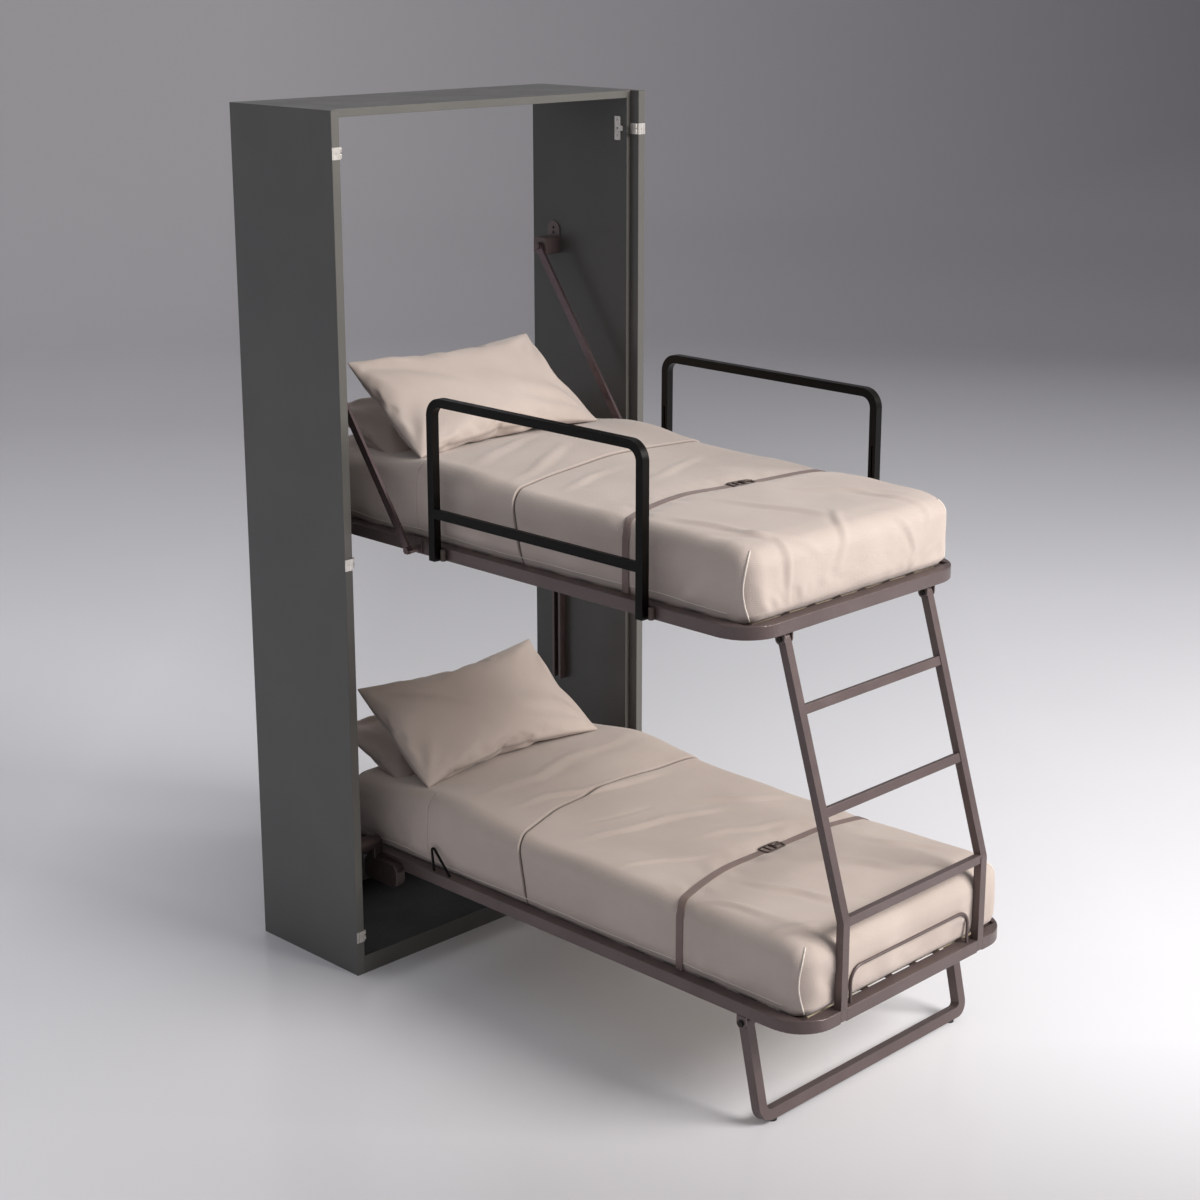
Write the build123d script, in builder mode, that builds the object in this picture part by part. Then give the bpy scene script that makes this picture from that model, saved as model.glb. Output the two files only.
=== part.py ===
from build123d import *
import math
import os

# Folding bunk bed in a tall cabinet. Millimetres, X across, foot end toward -Y, Z up.
# The origin is on the floor under the middle of the cabinet.

# Cabinet
cabinet_width = 1250
cabinet_depth = 465
cabinet_height = 2600
side_thickness = 28
lining_thickness = 16
lining_setback = 36
top_thickness = 23
base_height = 58
back_rail_thickness = 18
back_rail_height = 100
panel_edge_break = 1.2
front = -cabinet_depth / 2
back = cabinet_depth / 2
side_inner = cabinet_width / 2 - side_thickness
wall = side_inner - lining_thickness

# Fits
running_fit = 0.1
body_gap = 0.5
slide_gap = 0.6

# Bed frames, the same tube and width for both beds
bed_side_room = 116
tube_depth = 40
tube_height = 38
tube_wall = 2
tube_edge = 3
foot_corner = 115
rear_corner = 60
rail_outer = wall - bed_side_room
rail_inner = rail_outer - tube_depth
lower_reach = 1629
lower_rear_depth = 240
lower_frame_bottom = 307
upper_reach = 1415
upper_rear_depth = 405
upper_frame_bottom = 1335
lower_foot = front - lower_reach
lower_rear = front + lower_rear_depth
upper_foot = front - upper_reach
upper_rear = front + upper_rear_depth

# Lower bed hinge, seen from the side
lower_pivot_depth = 82
lower_pivot_y = front + lower_pivot_depth
lower_pivot_z = 375
pivot_pin_radius = 9
pivot_pin_head_radius = 15
pivot_pin_head = 6
housing_front_reach = 42
housing_front = front - housing_front_reach
housing_bottom = 258
housing_top = 332
housing_ear_radius = 20
housing_rear_reach = 35
housing_inner = rail_outer
housing_thickness = 32
housing_wall = 4
housing_corner = 26
housing_edge = 4
housing_bolt_radius = 7
housing_bolt_height = 4
housing_bolt_forward = 56
housing_bolt_pitch = 30
housing_bolt_z = 296
wall_bracket_thickness = 6
wall_bracket_half_width = 48
wall_bracket_half_height = 62
wall_boss_radius = 24

# Upper bed carriage and its guide rails
carriage_depth = 342
carriage_y = front + carriage_depth
upper_pivot_z = 1437
carriage_travel = 727.4
guide_width = 38
guide_depth = 26
guide_wall = 2.5
guide_lip = 9
guide_bottom = 600
guide_top = 1530
lug_thickness = 6
lug_half_width = 42
lug_head_radius = 26
carriage_gap = 50
carriage_thickness = 33
carriage_inner = rail_outer + carriage_gap
carriage_outer = carriage_inner + carriage_thickness
carriage_half_width = 27
carriage_half_height = 46
carriage_edge = 5
spacer_radius = 12
shoe_width = 31
shoe_height = 30
shoe_thickness = 18
shoe_spacing = 58
shoe_neck_width = 16

# Stay arms from the cabinet sides to the upper bed
arm_top_depth = 367
arm_top_drop = 511
arm_foot_reach = 147
arm_gap = 39
arm_top_y = front + arm_top_depth
arm_top_z = cabinet_height - arm_top_drop
arm_foot_y = front - arm_foot_reach
arm_foot_z = upper_frame_bottom + tube_height / 2
arm_width = 25
arm_thickness = 10
arm_inner = rail_outer + arm_gap
arm_pin_radius = 6
arm_bolt_head_radius = 10
arm_bolt_head = 6
arm_bracket_width = 56
arm_bracket_height = 104
arm_bracket_plate = 4
arm_block_height = 54
arm_block_edge = 5
ear_width = 30
ear_rise = 8
ear_thickness = 5
ear_boss_radius = 11

# Ladder
ladder_inset = 148
ladder_half_width = rail_outer - ladder_inset
stile_width = 26
stile_depth = 24
ladder_bolt_y = upper_foot + tube_depth / 2
ladder_bolt_z = 1318
ladder_bolt_radius = 4
ladder_bend_z = 592
ladder_bottom_z = 312
stile_plug_share = 1 / 30
bend_radius = 30
rung_height = 26
rung_depth = 20
rung_edge = 2
rung_heights = (590, 868, 1132)
cheek_thickness = 4
cheek_width = 32
bolt_head_radius = 8
bolt_head_height = 5

# Floor leg
leg_tube = 30
leg_bottom_reach = 1468
leg_pivot_reach = 1411
leg_bottom_y = front - leg_bottom_reach
leg_pivot_y = front - leg_pivot_reach
leg_pivot_z = 287
leg_corner = 45
leg_bolt_radius = 6
leg_bolt_head_radius = 10
leg_cheek_margin = 2
pad_radius = 14
pad_height = 6
pad_inset = 62
leg_cheek_thickness = 4.5

# Guards
guard_tube = 25
guard_wall = 1.5
guard_gap = 7
guard_rear_reach = 224
guard_inner = rail_outer + guard_gap
guard_rear = front - guard_rear_reach
guard_length = 847
guard_bottom = 1336
guard_top = 1815
guard_corner = 56
crossbar_z = 1478
crossbar_height = 28
crossbar_thickness = 12
guard_drop = 255
sleeve_margin = 4
sleeve_height = 30
sleeve_head_width = 16
sleeve_head_thickness = 4
sleeve_neck_width = 4
sleeve_z = upper_frame_bottom + sleeve_margin
knob_radius = 9
knob_height = 34
knob_neck = 3
knob_neck_radius = 3
knob_edge = 2

# Slats
slat_count = 13
slat_width = 68
slat_thickness = 8
slat_bow = 9
slat_end_gap = 3
slat_holder_length = 34
slat_holder_wall = 3.5
slat_drop = 19
slat_first_gap = 90
foot_tab_count = 6
foot_tab_width = 25
foot_tab_reach = 16
foot_tab_thickness = 4

# Mattresses and bedding
mattress_margin = 55
mattress_half_width = rail_outer - mattress_margin
mattress_height = 140
mattress_corner = 70
mattress_edge = 30
quilt_side = 18
quilt_top = 24
quilt_crown = 15
quilt_corner = 90
quilt_edge = 38
quilt_lift = 2
mattress_crown = 12
pillow_inset = 50
pillow_length = 2 * (mattress_half_width - pillow_inset)
pillow_width = 420
pillow_thickness = 120
pillow_corner = 80
pillow_edge = 56
front_pillow_tilt = 36
front_pillow_depth = 99
front_pillow_rise = 155.2
rear_pillow_tilt = 24
rear_pillow_depth = 232
rear_pillow_rise = 92
rear_pillow_share = 3 / 4

# Straps, buckles and the mattress stops
strap_width = 26
strap_thickness = 2.4
strap_clear = 3.5
holder_clear = 0.4
buckle_length = 84
buckle_width = 44
buckle_thickness = 13
buckle_corner = 9
buckle_slot_width = 7
buckle_slot_length = 30
stop_rod_radius = 4.5
stop_inset = 57
stop_half_width = ladder_half_width - stop_inset
stop_rise = 98
stop_corner = 42
retainer_rod_radius = 4
retainer_inset = 12
retainer_x = rail_outer - retainer_inset
retainer_bend = 8
retainer_rise = 86
retainer_foot_reaches = (165, 237)
retainer_peak_reach = 154
lower_strap_reaches = (1155, 1069, 1130)
upper_strap_reaches = (948, 845, 948)
lower_buckle_share = 0.56
upper_buckle_share = 0.65
mattress_lift = 0.2
bedding_setback = 30
stop_setback = 16

# Door hinges left on the cabinet
leaf_height = 34
leaf_thickness = 1.6
leaf_wrap = 34
leaf_screw_radius = 3.5
leaf_screw_height = 0.8
lowest_leaf_z = 124
highest_leaf_drop = 118
leaf_heights = (lowest_leaf_z, cabinet_height / 2, cabinet_height - highest_leaf_drop)
mount_plate_reach = 34
mount_plate_width = 24
mount_plate_arm = 16
mount_plate_height = 74
mount_plate_thickness = 4
mount_plate_hole_radius = 3
mount_plate_hole_spacing = 24
mount_plate_setback = 52


def share_of(start, end, share):
    """A place part of the way from start to end."""
    return start + (end - start) * share


def export(part, name, label):
    """Names a finished solid and writes its file."""
    part.label = label
    export_step(part, f"parts/{name}.step")


def disc(x0, x1, y, z, radius):
    """A round bar along X between two places."""
    with BuildPart() as bar:
        with BuildSketch(Plane.YZ.offset(x0)):
            with Locations((y, z)):
                Circle(radius)
        extrude(amount=x1 - x0)
    return bar.part


def both_pairs(parts):
    """Right-hand pieces and their mirror images on the left, as one group."""
    return Compound(children=parts + [mirror(part, about=Plane.YZ) for part in parts])


os.makedirs("parts", exist_ok=True)

# Cabinet panels
for sign, name in ((-1, "left"), (1, "right")):
    with BuildPart() as side_panel:
        with BuildSketch():
            with Locations((sign * (cabinet_width - side_thickness) / 2, 0)):
                Rectangle(side_thickness, cabinet_depth)
        extrude(amount=cabinet_height)
        fillet(side_panel.edges().filter_by(Axis.Z), panel_edge_break)
    export(side_panel.part, f"side_panel_{name}", f"side panel {name}")

    with BuildPart() as lining:
        lining_depth = cabinet_depth - lining_setback
        with BuildSketch(Plane.XY.offset(base_height)):
            with Locations((sign * (side_inner + wall) / 2, lining_setback / 2)):
                Rectangle(lining_thickness, lining_depth)
        extrude(amount=cabinet_height - top_thickness - base_height)
        fillet(lining.edges().filter_by(Axis.Z), panel_edge_break)
    export(lining.part, f"side_lining_{name}", f"side lining {name}")

with BuildPart() as top_panel:
    with BuildSketch(Plane.XY.offset(cabinet_height - top_thickness)):
        with Locations((0, lining_setback / 2)):
            Rectangle(2 * side_inner, cabinet_depth - lining_setback)
    extrude(amount=top_thickness)
    fillet(top_panel.edges().filter_by(Axis.X), panel_edge_break)
export(top_panel.part, "top_panel", "top panel")

with BuildPart() as base_panel:
    with BuildSketch():
        Rectangle(2 * side_inner, cabinet_depth)
    extrude(amount=base_height)
    fillet(base_panel.edges().group_by(Axis.Z)[-1].filter_by(Axis.X), panel_edge_break)
export(base_panel.part, "base_panel", "base panel")

with BuildPart() as back_rail:
    with BuildSketch(Plane.XY.offset(base_height)):
        with Locations((0, back - back_rail_thickness / 2)):
            Rectangle(2 * wall, back_rail_thickness)
    extrude(amount=back_rail_height)
export(back_rail.part, "back_rail", "back rail")

# Spring-hinge leaves on the front edges and the drilled plates behind them
leaves = []
for height in leaf_heights:
    with BuildPart() as leaf:
        with BuildSketch(Plane.XY.offset(height - leaf_height / 2)):
            with BuildLine():
                Polyline(
                    (cabinet_width / 2, front),
                    (side_inner, front),
                    (side_inner, front + leaf_wrap),
                )
                offset(amount=leaf_thickness, side=Side.LEFT)
            make_face()
        extrude(amount=leaf_height)
        with BuildSketch(Plane.XZ.offset(-(front - leaf_thickness))):
            with Locations((share_of(side_inner, cabinet_width / 2, 1 / 2), height)):
                Circle(leaf_screw_radius)
        extrude(amount=leaf_screw_height)
    leaves.append(leaf.part)
    leaves.append(mirror(leaf.part, about=Plane.YZ))
export(Compound(children=leaves), "door_hinge_leaves", "door hinge leaves")

plates = []
for height in leaf_heights:
    with BuildPart() as plate:
        with BuildSketch(Plane.YZ.offset(wall - mount_plate_thickness)):
            with Locations((front + mount_plate_setback + mount_plate_reach / 2, height)):
                Rectangle(mount_plate_reach, mount_plate_arm)
            plate_rear = front + mount_plate_setback + mount_plate_reach
            with Locations((plate_rear - mount_plate_width / 2, height)):
                Rectangle(mount_plate_width, mount_plate_height)
                with GridLocations(0, mount_plate_hole_spacing, 1, 3):
                    Circle(mount_plate_hole_radius, mode=Mode.SUBTRACT)
        extrude(amount=mount_plate_thickness)
        fillet(plate.edges().filter_by(Axis.X), leaf_thickness)
    plates.append(plate.part)
    plates.append(mirror(plate.part, about=Plane.YZ))
export(Compound(children=plates), "door_mounting_plates", "door mounting plates")


def guide_rail(sign):
    """Lipped channel on the cabinet wall, open toward the bed."""
    with BuildPart() as rail:
        with BuildSketch(Plane.XY.offset(guide_bottom)):
            with Locations((sign * (wall - guide_depth / 2), carriage_y)):
                Rectangle(guide_depth, guide_width)
                Rectangle(
                    guide_depth - 2 * guide_wall, guide_width - 2 * guide_wall, mode=Mode.SUBTRACT
                )
            with Locations((sign * (wall - guide_depth + guide_wall / 2), carriage_y)):
                Rectangle(guide_wall, guide_width - 2 * guide_lip, mode=Mode.SUBTRACT)
        extrude(amount=guide_top - guide_bottom)
    return rail.part


for sign, name in ((-1, "left"), (1, "right")):
    export(guide_rail(sign), f"guide_rail_{name}", f"guide rail {name}")

# Upper arm brackets: a wall plate with a rounded head and a block that carries the pin
arm_outer = arm_inner + arm_thickness
with BuildPart() as arm_bracket:
    with BuildSketch(Plane.YZ.offset(wall - arm_bracket_plate)):
        with Locations((arm_top_y, arm_top_z + (arm_bracket_height - arm_block_height) / 2)):
            SlotOverall(arm_bracket_height, arm_bracket_width, rotation=90)
    extrude(amount=arm_bracket_plate)
    with BuildSketch(Plane.YZ.offset(arm_outer + body_gap)):
        with Locations((arm_top_y, arm_top_z)):
            RectangleRounded(arm_bracket_width, arm_block_height, arm_block_edge)
    extrude(amount=wall - arm_outer - body_gap)
    with BuildSketch(Plane.YZ.offset(arm_inner - arm_bolt_head / 2)):
        with Locations((arm_top_y, arm_top_z)):
            Circle(arm_pin_radius)
    extrude(amount=arm_outer + body_gap - arm_inner + arm_bolt_head / 2)
    with BuildSketch(Plane.YZ.offset(arm_inner - body_gap)):
        with Locations((arm_top_y, arm_top_z)):
            Circle(arm_bolt_head_radius)
    extrude(amount=-arm_bolt_head)
export(arm_bracket.part, "arm_bracket_right", "arm bracket right")
export(mirror(arm_bracket.part, about=Plane.YZ), "arm_bracket_left", "arm bracket left")

# Stay arms: a flat bar with rounded ends, bored for the upper pin, and its lower bolt
arm_run_y = arm_foot_y - arm_top_y
arm_run_z = arm_foot_z - arm_top_z
arm_length = math.hypot(arm_run_y, arm_run_z)
arm_angle = math.degrees(math.atan2(arm_run_z, arm_run_y))
arm_middle = ((arm_top_y + arm_foot_y) / 2, (arm_top_z + arm_foot_z) / 2)
with BuildPart() as arm:
    with BuildSketch(Plane.YZ.offset(arm_inner)):
        with Locations(arm_middle):
            SlotCenterToCenter(arm_length, arm_width, rotation=arm_angle)
        with Locations((arm_top_y, arm_top_z)):
            Circle(arm_pin_radius + running_fit / 2, mode=Mode.SUBTRACT)
    extrude(amount=arm_thickness)
    with BuildSketch(Plane.YZ.offset(arm_outer)):
        with Locations((arm_foot_y, arm_foot_z)):
            Circle(arm_bolt_head_radius)
    extrude(amount=arm_bolt_head)
export(arm.part, "stay_arm_right", "stay arm right")
export(mirror(arm.part, about=Plane.YZ), "stay_arm_left", "stay arm left")

# Wall brackets that carry the lower bed
housing_outer = housing_inner + housing_thickness
with BuildPart() as wall_bracket:
    with BuildSketch(Plane.YZ.offset(wall - wall_bracket_thickness)):
        with Locations((lower_pivot_y, lower_pivot_z)):
            RectangleRounded(
                2 * wall_bracket_half_width, 2 * wall_bracket_half_height, housing_corner
            )
    extrude(amount=wall_bracket_thickness)
    with BuildSketch(Plane.YZ.offset(housing_outer + body_gap)):
        with Locations((lower_pivot_y, lower_pivot_z)):
            Circle(wall_boss_radius)
    extrude(amount=wall - housing_outer - body_gap)
    with BuildSketch(Plane.YZ.offset(housing_inner + housing_wall / 2)):
        with Locations((lower_pivot_y, lower_pivot_z)):
            Circle(pivot_pin_radius)
    extrude(amount=housing_outer + body_gap - housing_inner - housing_wall / 2)
export(wall_bracket.part, "wall_bracket_right", "wall bracket right")
export(mirror(wall_bracket.part, about=Plane.YZ), "wall_bracket_left", "wall bracket left")


def loop_outline(foot, rear, inset):
    """Plan of the bent tube loop, or of its hollow when inset by the tube wall."""
    with BuildSketch() as plan:
        with Locations((0, (foot + rear) / 2)):
            outline = Rectangle(2 * (rail_outer - inset), rear - foot - 2 * inset)
        fillet(outline.vertices().group_by(Axis.Y)[0], foot_corner - inset)
        fillet(outline.vertices().group_by(Axis.Y)[-1], rear_corner - inset)
        offset(outline, amount=2 * inset - tube_depth, mode=Mode.SUBTRACT)
    return plan.sketch


def bed_frame(foot, rear, bottom, grooved):
    """Bent tube loop, with its tube edges rounded and its ladder grooves walled off."""
    groove_depth = stile_depth + body_gap
    groove_width = stile_width + 2 * body_gap
    groove_x = ladder_half_width - stile_width / 2
    with BuildPart() as loop:
        with BuildSketch(Plane.XY.offset(bottom)):
            add(loop_outline(foot, rear, 0))
        extrude(amount=tube_height)
        flat_edges = loop.edges().group_by(Axis.Z)[0] + loop.edges().group_by(Axis.Z)[-1]
        fillet(flat_edges, tube_edge)
        with BuildSketch(Plane.XY.offset(bottom + tube_wall)):
            add(loop_outline(foot, rear, tube_wall))
            if grooved:
                with Locations((-groove_x, foot), (groove_x, foot)):
                    Rectangle(
                        groove_width + 2 * tube_wall,
                        2 * (groove_depth + tube_wall),
                        mode=Mode.SUBTRACT,
                    )
        extrude(amount=tube_height - 2 * tube_wall, mode=Mode.SUBTRACT)
        if grooved:
            with BuildSketch(Plane.XY.offset(bottom)):
                with Locations((-groove_x, foot), (groove_x, foot)):
                    Rectangle(groove_width, 2 * groove_depth)
            extrude(amount=tube_height, mode=Mode.SUBTRACT)
    return loop.part


export(bed_frame(lower_foot, lower_rear, lower_frame_bottom, True), "lower_frame", "lower frame")
export(bed_frame(upper_foot, upper_rear, upper_frame_bottom, False), "upper_frame", "upper frame")


def slat_rows(foot, rear):
    """Where the slats lie along the bed."""
    pitch = (rear - foot - 2 * slat_first_gap) / (slat_count - 1)
    return [foot + slat_first_gap + pitch * row for row in range(slat_count)]


def slat_profile(z, x_reach, thickness, rise):
    """Outline of a bowed strip seen from the foot end."""
    with BuildLine() as outline:
        ThreePointArc((-x_reach, z), (0, z + rise), (x_reach, z))
        Line((x_reach, z), (x_reach, z + thickness))
        ThreePointArc((x_reach, z + thickness), (0, z + thickness + rise), (-x_reach, z + thickness))
        Line((-x_reach, z + thickness), (-x_reach, z))
    return outline.edges()


def slats(foot, rear, bottom):
    """Bowed wooden slats across the frame."""
    boards = []
    for row in slat_rows(foot, rear):
        with BuildPart() as board:
            with BuildSketch(Plane.XZ.offset(-(row + slat_width / 2))):
                make_face(
                    slat_profile(
                        bottom + slat_drop, rail_inner - slat_end_gap, slat_thickness, slat_bow
                    )
                )
            extrude(amount=slat_width)
        boards.append(board.part)
    return Compound(children=boards)


def slat_holders(foot, rear, bottom):
    """Plastic end caps on the rails, and the tabs along the foot rail."""
    caps = []
    slat_z = bottom + slat_drop
    for row in slat_rows(foot, rear):
        with BuildPart() as cap:
            with BuildSketch(Plane.XZ.offset(-(row + slat_width / 2 + slat_holder_wall))):
                with Locations((rail_inner - slat_holder_length / 2, slat_z + slat_thickness / 2)):
                    Rectangle(slat_holder_length, slat_thickness + 2 * slat_holder_wall)
            extrude(amount=slat_width + 2 * slat_holder_wall)
            with BuildSketch(Plane.XZ.offset(-(row + slat_width / 2))):
                make_face(
                    slat_profile(
                        slat_z - holder_clear,
                        rail_inner - slat_end_gap / 2,
                        slat_thickness + 2 * holder_clear,
                        slat_bow,
                    )
                )
            extrude(amount=slat_width, mode=Mode.SUBTRACT)
        caps.append(cap.part)
        caps.append(mirror(cap.part, about=Plane.YZ))
    with BuildPart() as tabs:
        tab_y = foot + tube_depth + foot_tab_reach / 2
        with BuildSketch(Plane.XY.offset(bottom + tube_height - tube_edge - foot_tab_thickness)):
            with Locations((0, tab_y)):
                with GridLocations(2 * rail_inner / (foot_tab_count + 2), 0, foot_tab_count, 1):
                    Rectangle(foot_tab_width, foot_tab_reach)
        extrude(amount=foot_tab_thickness)
    return Compound(children=caps + list(tabs.part.solids()))


def soft_block(half_width, foot, rear, bottom, height, corner, edge, crown):
    """A cushion: rounded plan, drawn-in sides and a crown on top."""
    length = rear - foot
    reach = half_width + crown
    with BuildPart() as cushion:
        with BuildSketch(Plane.XY.offset(bottom)):
            with Locations((0, (foot + rear) / 2)):
                RectangleRounded(2 * half_width, length, corner)
        extrude(amount=height)
        with BuildSketch(Plane.XZ.offset(-(rear + crown))):
            with BuildLine():
                Polyline(
                    (-reach, bottom + height - crown),
                    (-reach, bottom + height + crown),
                    (reach, bottom + height + crown),
                    (reach, bottom + height - crown),
                )
                ThreePointArc(
                    (reach, bottom + height - crown),
                    (0, bottom + height),
                    (-reach, bottom + height - crown),
                )
            make_face()
        extrude(amount=length + 2 * crown, mode=Mode.SUBTRACT)
        fillet(cushion.faces().sort_by(Axis.Z)[-1].edges(), edge)
        fillet(cushion.faces().sort_by(Axis.Z)[0].edges(), edge / 2)
    return cushion.part


def mattress(foot, rear, bottom):
    """The foam block inside the bedding."""
    return soft_block(
        mattress_half_width,
        foot + quilt_side,
        rear,
        bottom,
        mattress_height,
        mattress_corner,
        mattress_edge,
        mattress_crown,
    )


def quilt(foot, rear, bottom, core):
    """The padded cover that wraps the mattress down to the rails."""
    shell = soft_block(
        mattress_half_width + quilt_side,
        foot,
        rear + quilt_side,
        bottom + quilt_lift,
        mattress_height + quilt_top + quilt_crown - quilt_lift,
        quilt_corner,
        quilt_edge,
        quilt_crown,
    )
    with BuildPart() as cover:
        add(shell)
        add(core, mode=Mode.SUBTRACT)
        with BuildSketch(Plane.XY.offset(bottom)):
            with Locations((0, (foot + rear) / 2)):
                RectangleRounded(
                    2 * mattress_half_width, rear - foot - quilt_side, mattress_corner
                )
        extrude(amount=mattress_height / 2, mode=Mode.SUBTRACT)
    return cover.part


def strap_line(reaches):
    """The strap's middle line in plan: an arc that bows toward the head."""
    end_x = mattress_half_width + quilt_side + strap_clear + strap_thickness
    left_reach, middle_reach, right_reach = reaches
    with BuildLine() as line:
        ThreePointArc(
            (-end_x, front - left_reach), (0, front - middle_reach), (end_x, front - right_reach)
        )
    return line.line


def strap(reaches, bottom, anchor_z):
    """A flat band from rail to rail over the bedding, cut out along its bowed line."""
    reach = mattress_half_width + quilt_side + strap_clear
    top = bottom + mattress_height + quilt_top + quilt_crown + strap_clear
    edge_z = top - quilt_crown
    near = front - max(reaches) - strap_width
    far = front - min(reaches) + strap_width
    with BuildPart() as band:
        with BuildSketch(Plane.XZ.offset(-near)):
            with BuildLine():
                over = ThreePointArc((-reach, edge_z), (0, top), (reach, edge_z))
                left = Line((-reach, anchor_z), over @ 0)
                right = Line(over @ 1, (reach, anchor_z))
                fillet((left.vertices() + right.vertices()).group_by(Axis.Z)[-1], quilt_edge)
                offset(amount=strap_thickness, side=Side.LEFT)
            make_face()
        extrude(amount=near - far)
        with BuildSketch(Plane.XY.offset(anchor_z)):
            trace(strap_line(reaches), line_width=strap_width)
        extrude(amount=top + strap_width - anchor_z, mode=Mode.INTERSECT)
    return band.part


def buckle(reaches, share, bottom):
    """Flat buckle with its two strap slots, lying on the strap and turned along it."""
    top = bottom + mattress_height + quilt_top + quilt_crown + strap_clear + strap_thickness
    line = strap_line(reaches)
    run = line % share
    turn = math.degrees(math.atan2(run.Y, run.X))
    place = Plane((line @ share) + (0, 0, top)) * Rotation(0, 0, turn)
    with BuildPart(place) as clasp:
        with BuildSketch(place):
            RectangleRounded(buckle_length, buckle_width, buckle_corner)
            slot_middle = buckle_length / 2 - buckle_corner
            with Locations((-slot_middle, 0), (slot_middle, 0)):
                Rectangle(buckle_slot_width, buckle_slot_length, mode=Mode.SUBTRACT)
        extrude(amount=buckle_thickness)
        fillet(clasp.faces().sort_by(Axis.Z)[-1].outer_wire().edges(), strap_thickness)
    return clasp.part


def pillow(y, z, tilt, share):
    """A plump rectangular cushion with round edges, leaned back by its tilt."""
    with BuildPart() as cushion:
        with BuildSketch(Plane.XY.offset(-pillow_thickness * share / 2)):
            RectangleRounded(pillow_length, pillow_width * share, pillow_corner)
        extrude(amount=pillow_thickness * share)
        faces = cushion.faces().sort_by(Axis.Z)
        fillet(faces[0].edges() + faces[-1].edges(), pillow_edge * share)
    return Location((0, y, z)) * Rotation(tilt, 0, 0) * cushion.part


beds = (
    ("lower", lower_foot, lower_rear, lower_frame_bottom, lower_strap_reaches, lower_buckle_share),
    ("upper", upper_foot, upper_rear, upper_frame_bottom, upper_strap_reaches, upper_buckle_share),
)
for bed, foot, rear, bottom, strap_reaches, buckle_share in beds:
    rail_top = bottom + tube_height
    soft_bottom = rail_top + mattress_lift
    quilt_top_z = soft_bottom + mattress_height + quilt_top + quilt_crown
    core = mattress(foot + bedding_setback, rear, soft_bottom)
    export(slats(foot, rear, bottom), f"{bed}_slats", f"{bed} slats")
    export(slat_holders(foot, rear, bottom), f"{bed}_slat_holders", f"{bed} slat holders")
    export(quilt(foot + bedding_setback, rear, soft_bottom, core), f"{bed}_quilt", f"{bed} quilt")
    export(core, f"{bed}_mattress", f"{bed} mattress")
    export(strap(strap_reaches, soft_bottom, rail_top), f"{bed}_strap", f"{bed} strap")
    clasp = buckle(strap_reaches, buckle_share, soft_bottom)
    export(clasp, f"{bed}_buckle", f"{bed} buckle")
    front_pillow = pillow(
        front + front_pillow_depth, quilt_top_z + front_pillow_rise, front_pillow_tilt, 1
    )
    rear_pillow = pillow(
        front + rear_pillow_depth,
        quilt_top_z + rear_pillow_rise,
        rear_pillow_tilt,
        rear_pillow_share,
    )
    export(front_pillow, f"{bed}_pillow_front", f"{bed} front pillow")
    export(rear_pillow, f"{bed}_pillow_back", f"{bed} back pillow")


def bent_rod(path_plane, points, bend, radius):
    """A round rod bent through the points of a flat path."""
    with BuildPart() as rod:
        with BuildLine(path_plane) as path:
            Polyline(*points)
            fillet(path.vertices().sort_by(path.wire())[1:-1], bend)
        with BuildSketch(Plane(origin=path.wire() @ 0, z_dir=path.wire() % 0)):
            Circle(radius)
        sweep()
        split(bisect_by=Plane.XY.offset(path_plane.origin.Z), keep=Keep.TOP)
    return rod.part


# Stops that keep the lower mattress from sliding: a hoop at the foot, a bent rod each side
lower_rail_top = lower_frame_bottom + tube_height
stop_plane = Plane(
    origin=(0, lower_foot + stop_setback, lower_rail_top), x_dir=(1, 0, 0), z_dir=(0, -1, 0)
)
hoop = bent_rod(
    stop_plane,
    (
        (-stop_half_width, 0),
        (-stop_half_width, stop_rise),
        (stop_half_width, stop_rise),
        (stop_half_width, 0),
    ),
    stop_corner,
    stop_rod_radius,
)
export(hoop, "mattress_stop", "mattress stop")
retainer_plane = Plane(origin=(retainer_x, 0, lower_rail_top), x_dir=(0, 1, 0), z_dir=(1, 0, 0))
retainer_points = (
    (front - retainer_foot_reaches[0], 0),
    (front - retainer_peak_reach, retainer_rise),
    (front - retainer_foot_reaches[1], 0),
)
retainer = bent_rod(retainer_plane, retainer_points, retainer_bend, retainer_rod_radius)
export(both_pairs([retainer]), "side_retainers", "side retainers")

# Pivot housings on the lower bed: a rounded case with two bolts, and an ear that rises behind
# the rail to the bore for the wall pin
housing_rear = lower_pivot_y + housing_rear_reach
with BuildPart() as housing:
    with BuildSketch(Plane.YZ.offset(housing_inner)):
        with Locations(((housing_front + housing_rear) / 2, (housing_bottom + housing_top) / 2)):
            RectangleRounded(
                housing_rear - housing_front, housing_top - housing_bottom, housing_corner
            )
        with Locations((lower_pivot_y, (lower_pivot_z + housing_bolt_z) / 2)):
            Rectangle(2 * housing_ear_radius, lower_pivot_z - housing_bolt_z)
        with Locations((lower_pivot_y, lower_pivot_z)):
            Circle(housing_ear_radius)
    extrude(amount=housing_thickness)
    fillet(housing.faces().sort_by(Axis.X)[-1].edges(), housing_edge)
    with BuildSketch(Plane.YZ.offset(housing_inner)):
        with Locations((lower_pivot_y, lower_pivot_z)):
            Circle(pivot_pin_radius + running_fit / 2)
    extrude(amount=housing_thickness, mode=Mode.SUBTRACT)
    with BuildSketch(Plane.YZ.offset(housing_outer)):
        with Locations((lower_pivot_y - housing_bolt_forward, housing_bolt_z)):
            with GridLocations(housing_bolt_pitch, 0, 2, 1):
                RegularPolygon(housing_bolt_radius, 6)
    extrude(amount=housing_bolt_height)
export(housing.part, "pivot_housing_right", "pivot housing right")
export(mirror(housing.part, about=Plane.YZ), "pivot_housing_left", "pivot housing left")

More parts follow.
